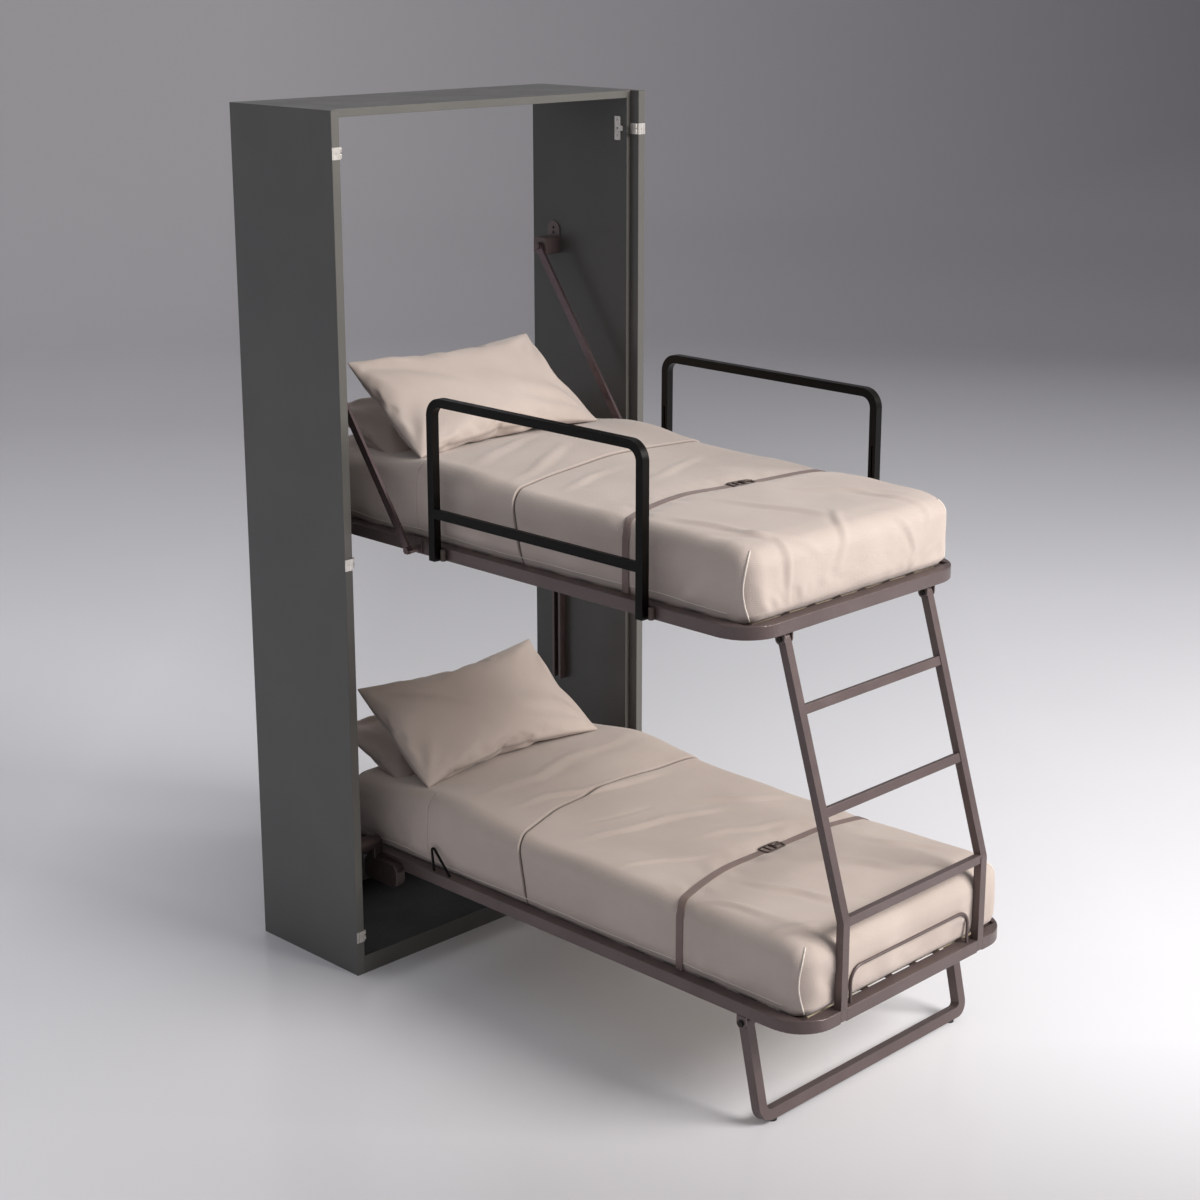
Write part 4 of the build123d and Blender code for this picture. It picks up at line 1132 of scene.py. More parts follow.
    def creased(self, across: Array, along: Array) -> Array:
        """Height of the cover's long soft creases.

        A crease runs from one place to another. Across its line it is a bell with a shallow
        hollow beside it, along its line an arch, and its line wavers a little.

        Args:
            across: Flat coordinate over the width.
            along: Flat coordinate over the length.

        Returns:
            Heights in metres.
        """
        tall, long = self.padding.ridge
        height = tall * (1 - np.abs(ripple(across * 1.3, along * 0.6, long, self.seed + 2)))
        far, long = self.padding.waver
        waver = far * ripple(across, along, long, self.seed + 3)
        hollow, widths = self.padding.crease_hollow
        for from_x, from_y, to_x, to_y, width_mm, rise_mm in self.creases:
            start = np.array([from_x * MM, FRONT_Y + from_y * MM])
            run = np.array([to_x * MM, FRONT_Y + to_y * MM]) - start
            length = float(np.hypot(*run))
            forth = ((across - start[0]) * run[0] + (along - start[1]) * run[1]) / length
            aside = ((across - start[0]) * run[1] - (along - start[1]) * run[0]) / length
            aside = aside + waver
            arch = np.clip(1 - (2 * forth / length - 1) ** 2, 0, 1)
            width = width_mm * MM
            bell = bump_at(aside, width)
            bell = bell - hollow * bump_at(aside - widths * width_mm * MM, width)
            height = height + rise_mm * MM * arch * bell
        return height

    def side(self, block: Cushion, across: Array, along: Array, hang: Array) -> Array:
        """Height of the flutes and the belly down the sides.

        The flutes are waves of the place round the bed, calm at the corners, with finer ones
        over parts of the foot. The belly is half a sine of the share of the way down.

        Args:
            block: The block under the cover.
            across: Flat coordinate over the width.
            along: Flat coordinate over the length.
            hang: Share of the way down the side.

        Returns:
            Heights in metres.
        """
        pad = self.padding
        inner_x, inner_y = (side - block.edge for side in block.half)
        over_x = np.abs(across) - inner_x
        over_y = np.abs(along - block.middle_y) - inner_y
        # The ends' waves are read off three metres away, so that they differ from the sides'
        round_it = np.where(over_x > over_y, along, across + 3.0)
        corner = bump_at(over_x - over_y, pad.corner_calm)
        tall, long = pad.flute
        flute = tall * ripple(round_it, hang * pad.flute_slant, long, self.seed + 4)
        on_foot = smooth_step(over_y - over_x, -pad.corner_blend, pad.corner_blend)
        patches = ripple(round_it, hang, pad.foot_patch, self.seed + 12)
        at_foot = on_foot * smooth_step(hang, *pad.foot_flute_span)
        at_foot = at_foot * smooth_step(patches, *pad.foot_patch_span)
        tall, long = pad.foot_flute
        finer = ripple(round_it, hang * pad.foot_flute_slant, long, self.seed + 9)
        flute = flute + tall * finer * at_foot
        flute = flute * (1 - pad.foot_easing * on_foot)
        belly = pad.belly - (pad.belly - pad.foot_belly) * on_foot
        belly = belly * np.sin(math.pi * np.clip(hang, 0, 1))
        side = flute * smooth_step(hang, *pad.flute_span) * (1 - corner)
        return side + belly * (1 - pad.corner_easing * corner)

    def height(self, block: Cushion, across: Array, along: Array, hang: Array) -> Array:
        """How far the cover stands off the block along its normal.

        It adds broad swells, soft creases, flutes that run down the sides, the lip and groove of
        the main seam, a fainter second seam, and the gathers beside the strap.

        Args:
            block: The block under the cover.
            across: Flat coordinate over the width.
            along: Flat coordinate over the length.
            hang: Share of the way down the side.

        Returns:
            Heights in metres.
        """
        pad = self.padding
        (broad, broad_long), (small, small_long) = pad.waves
        swell = broad * ripple(across, along, broad_long, self.seed)
        swell += small * ripple(across, along, small_long, self.seed + 1)
        crease = self.creased(across, along)
        side = self.side(block, across, along, hang)
        off_seam = along - self.seam_y(across)
        lip = pad.lip * smooth_step(off_seam, *pad.lip_rise)
        lip = lip * (1 - pad.lip_sunk * smooth_step(off_seam, *pad.lip_sink))
        deep, wide = pad.groove
        cut = -deep * bump_at(off_seam + pad.groove_before, wide)
        deep, wide = pad.second_groove
        faint = -deep * bump_at(along - self.second_y(), wide) * smooth_step(hang, 0.0, 0.1)
        near = self.near_strap(across, along)
        tall, long = pad.gather
        gather = tall * ripple(across * 3.0, along, long, self.seed + 5)
        gather = gather * near * (1 - near) * 4
        loose = swell + crease + side + lip + cut + faint + pad.thick
        # The hem is sewn straight, so every wave fades out above it
        straight = 1 - smooth_step(hang, *pad.hem_span)
        held = loose * (1 - near) + near * pad.under_strap + gather
        return held * straight + pad.at_hem * (1 - straight)

    def lay_cover(self, block: Cushion, across: Array, along: Array) -> tuple[Array, Array, Array]:
        """Places, normals and hang of points of the padded cover.

        The padding's lift acts straight up and fades down the side. The hem is tucked in behind
        the rail's edge over its last tenth.

        Args:
            block: The block under the cover.
            across: Flat coordinate over the width.
            along: Flat coordinate over the length.

        Returns:
            Places, normals, and how far down the side each point hangs.
        """
        pad = self.padding
        hang = block.lay(across, along)[2]
        height = self.height(block, across, along, hang)
        points, normal, _ = block.lay(across, along, height)
        points[..., 2] += self.rise(across, along, block) * (1 - hang)
        tuck = smooth_step(hang, pad.tuck_from, 1.0)
        near_foot = block.low[1] + pad.foot_reach - points[..., 1]
        at_foot = smooth_step(near_foot, 0.0, pad.foot_blend)
        inward = pad.tuck + pad.foot_tuck * at_foot
        points[..., :2] -= normal[..., :2] * (inward * tuck)[..., None]
        points[..., 2] -= pad.tuck_down * tuck
        return points, normal, hang

    def cover(self) -> Piece:
        """Builds the padded cover as one closed surface with its seams.

        Returns:
            The cover, which replaces the CAD quilt.
        """
        block, pad = self.cushion(), self.padding
        across, along = self.sheet(block)
        points, _, hang = self.lay_cover(block, across, along)
        everything, strip, cap = block.close(points, *along.shape, inset=0.02, raise_by=0.012)
        faces = [*grid_faces(*along.shape).tolist(), *strip.tolist(), *cap]
        piece = make_piece(f"{self.bed.value}_bedding", everything, faces, self.bed.body)
        flat = np.stack([across, along], axis=-1).reshape(-1, 2)
        extra = len(everything) - len(flat)
        add_uv(piece, np.concatenate([flat, np.zeros((extra, 2))]))
        off_seam = along - self.seam_y(across)
        # Shade lies deep in the main seam, faintly beside it, and in the second on the sides
        dark = sum(share * bump_at(off_seam + before, wide)
                   for share, before, wide in pad.seam_shade)
        share, wide = pad.second_shade
        dark = dark + share * bump_at(along - self.second_y(), wide) * (hang > 0.02)
        under = np.full(extra, pad.under_shade)
        add_painted_shade(piece, np.concatenate([np.clip(dark, 0, 1).ravel(), under]))
        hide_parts(f"{self.bed.value}_quilt")
        return piece

    def piping(self) -> Piece:
        """Builds the piping sewn down the cover's four corners and the cord in its hem.

        Each length is a round section carried along the cover: a circle about each point of its
        path, in the plane of the two directions across the path. The corners' lengths bow
        sideways by half a sine.

        Returns:
            The piping as one piece.
        """
        block = self.cushion()
        inner_x, inner_y = (side - block.edge for side in block.half)
        reach_y = block.reach()[1]
        number = 40
        down = np.linspace(self.piping_start, block.overhang - self.piping_end, number)
        sway = self.piping_bow * np.sin(np.linspace(0, math.pi, number))
        parts = []
        for side, end in ((-1, -1), (1, -1), (-1, 1), (1, 1)):
            across = side * (inner_x + down + sway)
            along = block.middle_y + end * (inner_y + down - sway)
            path, normal, _ = self.lay_cover(block, across, along)
            path = path + normal * self.piping_lift
            parts.append(sweep(path, normal, self.piping_radius, 8))
        hem = block.overhang - self.hem_cord_above
        far, long = self.hem_cord_wave
        for side in (-1, 1):
            along = np.linspace(-reach_y * 0.9, reach_y * 0.9, 220) + block.middle_y
            level = hem + far * ripple(along, along * 0, long, self.seed + 6)
            path, normal, _ = self.lay_cover(block, side * (inner_x + level), along)
            path = path + normal * self.hem_cord_lift
            parts.append(sweep(path, normal, self.hem_cord_radius, 6))
        return make_piece(f"{self.bed.value}_piping", *join(parts), self.bed.body)

    def ticking(self) -> Piece:
        """Builds the mattress in its ticking, whose foot shows under the cover's hem."""
        low, high = self.bed.box("mattress")
        block = Cushion(low, high, edge=0.03, corner=0.07, crown=0.012)
        reach_x, reach_y = block.reach()
        columns, rows = self.ticking_grid
        across = np.linspace(-reach_x, reach_x, columns)
        along = block.middle_y + np.linspace(-reach_y, reach_y, rows)
        across, along = np.meshgrid(across, along)
        points, _, _ = block.lay(across, along, -self.ticking_gap)
        gap = self.ticking_end_gap
        points[..., 1] = np.clip(points[..., 1], low[1] + gap, high[1] - gap)
        everything, strip, cap = block.close(points, *across.shape, inset=0.02, raise_by=0.0006)
        faces = [*grid_faces(*across.shape).tolist(), *strip.tolist(), *cap]
        piece = make_piece(f"{self.bed.value}_ticking", everything, faces, self.bed.body)
        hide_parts(f"{self.bed.value}_mattress")
        return piece

    def strap(self) -> Piece:
        """Builds the strap: a flat band with rounded edges, pressed round the bedding.

        Its section is carried along the strap's line on the block, and lies on the bedding with
        the gap that the CAD strap keeps.

        Returns:
            The strap, which replaces the CAD strap.
        """
        block = self.cushion()
        name = f"{self.bed.value}_strap"
        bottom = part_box(name)[0][2]
        reach = block.reach()[0] + self.strap_past
        across = np.linspace(-reach, reach, 260)
        # A section with flat faces: a circle drawn out to the power of one third
        side, rise = drawn_out(np.linspace(0, TURN, 12, endpoint=False), 0.33)
        side = side * self.strap_width / 2
        rise = rise * self.strap_thick / 2
        across, side_all = np.broadcast_arrays(across[:, None], side[None, :])
        far, long = self.strap_waver
        waver = far * ripple(across, across * 0, long, self.seed + 8)
        along = self.strap_y(across) + side_all + waver
        lift = self.strap_clear + self.strap_thick / 2 + rise[None, :]
        points, _, hang = block.lay(across, along, lift)
        points[..., 2] += self.strap_rise(across) * (1 - hang)
        points[..., 2] = np.maximum(points[..., 2], bottom + self.strap_end)
        faces = [face[::-1] for face in capped_tube(*along.shape)]
        piece = make_piece(f"{self.bed.value}_webbing", points, faces, self.bed.body)
        add_uv(piece, np.stack([across, side_all], axis=-1).reshape(-1, 2))
        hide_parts(name)
        return piece

    def buckle(self) -> Piece:
        """Builds the buckle and turns it to lie along the strap at its place.

        Returns:
            The buckle, which replaces the CAD buckle.
        """
        low, high = self.bed.box("buckle")
        middle = (np.array(low) + np.array(high)) / 2
        level = low[2] + self.strap_buckle.above
        # The strap's direction, read a little to each side of the buckle's middle
        beside = 0.02
        ends = self.strap_y(middle[0] + np.array([-beside, beside]))
        turn = math.atan2(float(ends[1] - ends[0]), 2 * beside)
        points, faces = self.strap_buckle.mesh()
        x, y, z = points.T
        placed = np.stack([
            middle[0] + x * math.cos(turn) - y * math.sin(turn),
            middle[1] + x * math.sin(turn) + y * math.cos(turn), level + z,
        ], axis=-1)
        piece = make_piece(f"{self.bed.value}_strap_buckle", placed, faces, self.bed.body)
        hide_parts(f"{self.bed.value}_buckle")
        return piece

    def build(self, wardrobe: Wardrobe) -> None:
        """Builds and dresses the bed's soft goods."""
        bottom = self.bed.box("quilt")[0][2]
        # The piping and the hem cord wear the paler ticking: a painted highlight along them
        for maker, slot in ((self.cover, Slot.BEDDING), (self.piping, Slot.FOAM),
                            (self.ticking, Slot.FOAM), (self.strap, Slot.WEBBING),
                            (self.buckle, Slot.MOULDING)):
            piece = maker()
            wardrobe.dress(piece, slot)
            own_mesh(piece)
            LOG.info("%s: %d faces", piece.name, len(piece.data.polygons))


@dataclass
class PillowForm:
    """A pillow's shape before it is laid down, in metres, made by blowing up a sewn case.

    Two flat layers joined round their edge are filled by Blender's cloth under pressure, which
    draws the edges in between the corners and puckers the seam, as filling does.
    """

    length: float
    width: float
    loft: float
    columns: int = 74
    rows: int = 46
    pressure: float = 1.7
    frames: int = 22
    # How far apart the two layers start, so that the pressure can part them
    parted: float = 0.012
    # For a quicker form made by formula: the power that would round it, and how far its ends and
    # sides would draw in
    roundness: float = 0.42
    drawn_in: tuple[float, float] = (0.05, 0.07)

    def case(self) -> tuple[Array, Array, Array]:
        """The flat case: two grids that share their border.

        Returns:
            Points, faces, and the flat coordinates of each point.
        """
        u, v = np.meshgrid(np.linspace(-1, 1, self.columns), np.linspace(-1, 1, self.rows))
        rise = self.parted * (1 - u ** 8) * (1 - v ** 8)
        flat = np.stack([u * self.length / 2, v * self.width / 2], axis=-1)
        top = np.concatenate([flat, rise[..., None]], axis=-1).reshape(-1, 3)
        under = np.concatenate([flat, -rise[..., None]], axis=-1)[1:-1, 1:-1].reshape(-1, 3)
        number = np.arange(self.rows * self.columns).reshape(self.rows, self.columns)
        below = number.copy()
        below[1:-1, 1:-1] = number.size + np.arange(len(under)).reshape(self.rows - 2, -1)
        quads = grid_faces(self.rows, self.columns)
        faces = np.concatenate([quads, below.ravel()[quads][:, ::-1]])
        laid = np.concatenate([top[:, :2], under[:, :2]])
        return np.concatenate([top, under]), faces, laid

    def blow_up(self, points: Array, faces: Array) -> Array:
        """Fills the case with Blender's cloth under pressure and reads back the settled points.

        Args:
            points: The flat case's points.
            faces: Its faces.

        Returns:
            The filled case's points.
        """
        mesh = bpy.data.meshes.new("pillow_case")
        mesh.from_pydata(points.tolist(), [], faces.tolist())
        case = bpy.data.objects.new("pillow_case", mesh)
        bpy.context.scene.collection.objects.link(case)
        cloth = case.modifiers.new("filling", "CLOTH")
        for name, value in {
            "quality": 6, "mass": 0.25, "tension_stiffness": 22, "compression_stiffness": 12,
            "bending_stiffness": 0.35, "air_damping": 2.0, "use_pressure": True,
            "uniform_pressure_force": self.pressure,
        }.items():
            setattr(cloth.settings, name, value)
        cloth.settings.effector_weights.gravity = 0.0
        cloth.collision_settings.use_self_collision = False
        cloth.point_cache.frame_start = 1
        cloth.point_cache.frame_end = self.frames
        for step in range(1, self.frames + 1):
            bpy.context.scene.frame_set(step)
        settled = case.evaluated_get(bpy.context.evaluated_depsgraph_get())
        filled = np.zeros(len(points) * 3)
        settled.data.vertices.foreach_get("co", filled)
        bpy.data.objects.remove(case)
        bpy.data.meshes.remove(mesh)
        bpy.context.scene.frame_set(1)
        return filled.reshape(-1, 3)

    def shape(self) -> tuple[Array, Array, Array]:
        """The filled pillow, scaled to its size, with its points' flat coordinates."""
        points, faces, laid = self.case()
        filled = self.blow_up(points, faces)
        size = filled.max(axis=0) - filled.min(axis=0)
        centre = (filled.max(axis=0) + filled.min(axis=0)) / 2
        want = np.array([self.length, self.width, self.loft])
        return (filled - centre) * want / size, faces, laid


@dataclass
class Pillow:
    """One pillow on a bed: its form, where it leans, and how its faces are worked.

    Lengths are metres, and the tilt is degrees. The curl is one over the radius of the arc that
    the pillow's width is bent on.
    """

    bed: Bed
    node: str
    form: PillowForm
    tilt: float
    middle: Place
    curl: float
    seed: int
    # What is worked into the faces grows to its full height this far from the middle plane
    face_from: float = 0.03
    # The dome's share of the height, and the power that rounds it
    dome: tuple[float, float] = (0.5, 0.62)
    # Pulls at the corners: their height, and the ring about a corner that they lie on
    pull: float = 0.0036
    pull_ring: tuple[float, float] = (0.12, 0.075)
    # Their waves: how many in a turn, how they shift from corner to corner, and their share
    pull_waves: tuple[tuple[float, float, float], ...] = ((9, 1.7, 1.0), (15, 1.0, 0.6))
    # The slanted fold's depth, half width and place, and those of the ridge beside it
    fold: tuple[float, float, float] = (0.0068, 0.02, -0.03)
    fold_ridge: tuple[float, float, float] = (0.0030, 0.03, 0.02)
    # The fold's slant, its waver, and the patches that it shows in
    fold_slant: float = 0.5
    fold_waver: tuple[float, float] = (0.035, 0.5)
    fold_patch: float = 0.45
    fold_patch_span: tuple[float, float] = (-0.5, 0.6)
    # Broad swells, and the seam's puckers with the place and width of the band they lie in
    swell: tuple[float, float] = (0.0055, 0.26)
    pucker: tuple[float, float] = (0.0022, 0.05)
    pucker_band: tuple[float, float] = (0.02, 0.03)
    # The seam's shade, and half the thickness that it covers
    seam_shade: tuple[float, float] = (0.35, 0.004)
    # How far the short ends droop
    droop: float = 0.012
    # The bedding lies this high above the CAD quilt's top, and what sinks below it is pressed
    # flat, but for this share
    bedding_above: float = 0.02
    press_band: float = 0.012
    press_share: float = 0.15

    def worked(self, points: Array, laid: Array) -> Array:
        """The points' heights once dome, pulls, fold, swells, puckers and droop are added.

        Args:
            points: The filled pillow's points.
            laid: Their flat coordinates.

        Returns:
            A height for each point, off the pillow's middle plane.
        """
        w = points[:, 2]
        side = np.sign(w) * smooth_step(np.abs(w), 0.0, self.face_from)
        flat_x, flat_y = laid[:, 0], laid[:, 1]
        half_x, half_y = self.form.length / 2, self.form.width / 2
        # A dome, the product of two arches, fills the middle
        arch = np.clip(1 - (2 * flat_x / self.form.length) ** 2, 0, 1)
        arch = arch * np.clip(1 - (2 * flat_y / self.form.width) ** 2, 0, 1)
        share, power = self.dome
        full = np.sign(w) * (np.abs(w) > 1e-4) * arch ** power * self.form.loft / 2
        w = (1 - share) * w + share * full
        # Pulls fan out of each corner: waves of the angle about it, over a ring near it
        ring, ring_width = self.pull_ring
        for number, (end, edge) in enumerate(((-1, -1), (1, -1), (1, 1), (-1, 1))):
            from_x, from_y = end * half_x - flat_x, edge * half_y - flat_y
            away = np.hypot(from_x, from_y)
            angle = np.arctan2(from_y * edge, from_x * end)
            fan = sum(part * np.sin(angle * count + number * shift)
                      for count, shift, part in self.pull_waves)
            w = w + side * self.pull * fan * bump_at(away - ring, ring_width)
        # One long soft fold crosses the face from corner to corner
        far, long = self.fold_waver
        waver = far * ripple(flat_x, flat_y, long, self.seed)
        slant = flat_x * self.fold_slant + flat_y + waver
        patches = ripple(flat_x, flat_y, self.fold_patch, self.seed + 3)
        part = smooth_step(patches, *self.fold_patch_span)
        deep, wide, place = self.fold
        w = w - side * deep * bump_at(slant - place, wide) * part
        tall, wide, place = self.fold_ridge
        w = w + side * tall * bump_at(slant - place, wide) * part
        tall, long = self.swell
        w = w + side * tall * ripple(flat_x, flat_y, long, self.seed + 2)
        # The seam puckers: short waves along the edges, gone a hand inside them
        border = np.minimum(half_x - np.abs(flat_x), half_y - np.abs(flat_y))
        tall, long = self.pucker
        waves = ripple(flat_x, flat_y, long, self.seed + 6)
        place, wide = self.pucker_band
        w = w + side * tall * waves * bump_at(border - place, wide)
        return w - self.droop * (np.abs(flat_x) / half_x) ** 3

    def laid_down(self, points: Array, height: Array) -> Array:
        """Bends the pillow's width on its arc, leans it, and presses it on the bedding.

        Args:
            points: The filled pillow's points.
            height: Their worked heights.

        Returns:
            The points' places in the frame.
        """
        bend = points[:, 1] * self.curl
        radius = 1 / self.curl
        y = (radius - height) * np.sin(bend)
        z = radius - (radius - height) * np.cos(bend)
        lean = math.radians(self.tilt)
        back = y * math.cos(lean) - z * math.sin(lean) + self.middle[1]
        up = y * math.sin(lean) + z * math.cos(lean) + self.middle[2]
        rest = self.bed.box("quilt")[1][2] + self.bedding_above
        pressed = rest + self.press_share * np.maximum(up - rest, 0)
        up = np.where(up < rest + self.press_band, np.maximum(up, pressed), up)
        return np.stack([points[:, 0] + self.middle[0], back, up], axis=-1)

    def build(self, shape: tuple[Array, Array, Array]) -> Piece:
        """Works the filled pillow's faces, lays it down and rounds it off.

        Args:
            shape: Points, faces and flat coordinates from the pillow's form.

        Returns:
            The pillow, which replaces its CAD node.
        """
        points, faces, laid = shape
        placed = self.laid_down(points, self.worked(points, laid))
        piece = make_piece(self.node.replace("_pillow", "_cushion"), placed, faces, self.bed.body)
        add_uv(piece, laid)
        shade, near = self.seam_shade
        add_painted_shade(piece, shade * (np.abs(points[:, 2]) < near))
        smooth = piece.modifiers.new("rounding", "SUBSURF")
        smooth.levels = smooth.render_levels = 1
        deps = bpy.context.evaluated_depsgraph_get()
        finished = bpy.data.meshes.new_from_object(piece.evaluated_get(deps))
        piece.modifiers.clear()
        piece.data = finished
        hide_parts(self.node)
        top = self.bed.box("quilt")[1][2] + 0.006
        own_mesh(piece)
        return piece


@dataclass
class Pillows:
    """The two pillows that lie on each bed: a large one leaning on a smaller one."""

    front: PillowForm
    rear: PillowForm

    def build(self, wardrobe: Wardrobe) -> None:
        """Blows up each form once and lays it on both beds."""
        front_shape = self.front.shape()
        rear_shape = self.rear.shape()
        for bed in Bed:
            top = bed.box("quilt")[1][2]
            for pillow, shape in (
                (Pillow(bed, f"{bed.value}_pillow_front", self.front, tilt=36.0,
                        middle=(-0.024, FRONT_Y + 0.093, top + 0.158), curl=0.9, seed=21),
                 front_shape),
                (Pillow(bed, f"{bed.value}_pillow_back", self.rear, tilt=20.0,
                        middle=(-0.016, FRONT_Y + 0.225, top + 0.074), curl=0.6, seed=33),
                 rear_shape),
            ):
                piece = pillow.build(shape)
                wardrobe.dress(piece, Slot.BEDDING)
                LOG.info("%s: %d faces", piece.name, len(piece.data.polygons))


# Small fasteners


@dataclass(frozen=True)
class Turned:
    """A turned part: a profile of radius and height, in millimetres, spun round its axis."""

    profile: tuple[tuple[float, float], ...]
    sides: int = 16

    def mesh(self) -> tuple[Array, list]:
        """The part's points and faces about the Z axis, closed at its two poles.

        Each profile point makes a circle of the given number of sides.

        Returns:
            Points in metres and the faces.
        """
        radius, height = np.array(self.profile).T * MM
        angle = np.arange(self.sides) / self.sides * TURN
        x = radius[:, None] * np.cos(angle)
        y = radius[:, None] * np.sin(angle)
        z = np.broadcast_to(height[:, None], x.shape)
        faces = capped_tube(len(self.profile), self.sides)
        return np.stack([x, y, z], axis=-1).reshape(-1, 3), faces


@dataclass
class Fasteners:
    """Copies of one turned part at many places, as one piece on one body."""

    name: str
    body: str
    part: Turned
    places: list[Place]
    facing: list[Place]
    slot: Slot = Slot.DARK_STEEL

    def build(self, wardrobe: Wardrobe) -> Piece:
        """Puts a copy at each place with its axis along its facing.

        Each copy's points are its own axes times the part's coordinates, plus its place.

        Returns:
            The piece with all the copies.
        """
        points, faces = self.part.mesh()
        places = np.array(self.places, float)
        axis = np.array(self.facing, float)
        axis = axis / np.linalg.norm(axis, axis=1)[:, None]
        helper = np.where(np.abs(axis[:, 2:3]) > 0.9, [[1.0, 0, 0]], [[0, 0, 1.0]])
        first = np.cross(helper, axis)
        first = first / np.linalg.norm(first, axis=1)[:, None]
        second = np.cross(axis, first)
        turned = np.stack([first, second, axis], axis=1)
        copies = places[:, None, :] + np.einsum("pk,nkc->npc", points, turned)
        every, shapes = join([(copy, faces) for copy in copies])
        piece = make_piece(self.name, every, shapes, self.body, smooth=False)
        wardrobe.dress(piece, self.slot)
        LOG.info("%s: %d copies", self.name, len(places))
        return piece


SCREW = Turned(((4.2, 0.0), (4.2, 0.7), (3.4, 1.7), (2.0, 2.1), (1.8, 1.2), (0.4, 1.1)), 18)
KNUCKLE = Turned(((3.0, -6.6), (4.2, -6.0), (4.6, -4.8), (4.6, 4.8), (4.2, 6.0), (3.0, 6.6)), 20)


def both_sides(places: list[Place]) -> list[Place]:
    """Right-hand places and their mirror images."""
    return places + [(-x, y, z) for x, y, z in places]


@dataclass
class CabinetScrews:
    """Screws and hinge knuckles on the cabinet's inner sides, in metres.

    Distances are taken from the box of the CAD node that a screw holds. A stand is the
    thickness of the plate under a screw's head, and the others are places from the box's edges.
    """

    guide_stand: float = 0.0025
    guide_ends: float = 0.05
    guide_count: int = 6
    arm_stand: float = 0.004
    arm_below_top: tuple[float, ...] = (0.022, 0.038)
    wall_stand: float = 0.006
    wall_edges: tuple[float, float] = (0.015, 0.02)
    plate_stand: float = 0.004
    plate_back: float = 0.012
    plate_half: float = 0.037
    plate_steps: tuple[float, ...] = (-0.024, 0.024)
    hinge_count: int = 3
    knuckle_place: tuple[float, float] = (0.5905, 0.0065)
    knuckle_steps: tuple[float, ...] = (-0.0085, 0.0085)

    def screws(self, wardrobe: Wardrobe, name: str, places: list[Place], slot: Slot) -> None:
        """Builds screws at right-hand places and their mirror images, heads to the middle."""
        every = both_sides(places)
        inward = [(-math.copysign(1, x), 0, 0) for x, _, _ in every]
        Fasteners(name, "cabinet", SCREW, every, inward, slot).build(wardrobe)

    def build(self, wardrobe: Wardrobe) -> None:
        """Builds the screws, whose heads stand on the plates toward the bed."""
        guide_low, guide_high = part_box("guide_rail_right")
        arm_low, arm_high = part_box("arm_bracket_right")
        wall_low, wall_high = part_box("wall_bracket_right")
        heights = np.linspace(guide_low[2] + self.guide_ends, guide_high[2] - self.guide_ends,
                              self.guide_count)
        guide_y = (guide_low[1] + guide_high[1]) / 2
        places = [(guide_high[0] - self.guide_stand, guide_y, float(z)) for z in heights]
        arm_y = (arm_low[1] + arm_high[1]) / 2
        places += [(arm_high[0] - self.arm_stand, arm_y, arm_high[2] - below)
                   for below in self.arm_below_top]
        edge_y, edge_z = self.wall_edges
        places += [(wall_high[0] - self.wall_stand, y, z)
                   for y in (wall_low[1] + edge_y, wall_high[1] - edge_y)
                   for z in (wall_low[2] + edge_z, wall_high[2] - edge_z)]
        self.screws(wardrobe, "cabinet_screws", places, Slot.DARK_STEEL)
        self.hinge_parts(wardrobe)

    def hinge_parts(self, wardrobe: Wardrobe) -> None:
        """Builds the door hinges' knuckles and the screws of their mounting plates.

        The hinges stand at equal steps up each side. Each has two knuckles, whose axes are
        upright, and its plate has a screw above and below its arm.
        """
        plate_low, plate_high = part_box("door_mounting_plates")
        levels = np.linspace(plate_low[2] + self.plate_half, plate_high[2] - self.plate_half,
                             self.hinge_count)
        x, before = self.knuckle_place
        knuckles = both_sides([(x, FRONT_Y + before, float(level + step))
                               for level in levels for step in self.knuckle_steps])
        Fasteners("hinge_knuckles", "cabinet", KNUCKLE, knuckles, [(0, 0, 1)] * len(knuckles),
                  Slot.BRIGHT_STEEL).build(wardrobe)
        places = [(plate_high[0] - self.plate_stand, plate_high[1] - self.plate_back,
                   float(level + step)) for level in levels for step in self.plate_steps]
        self.screws(wardrobe, "plate_screws", places, Slot.BRIGHT_STEEL)


# Studio

# Level directions: away from the photographer, and to their right
BEHIND = (0.719, 0.695, 0.0)
BESIDE = (0.695, -0.719, 0.0)


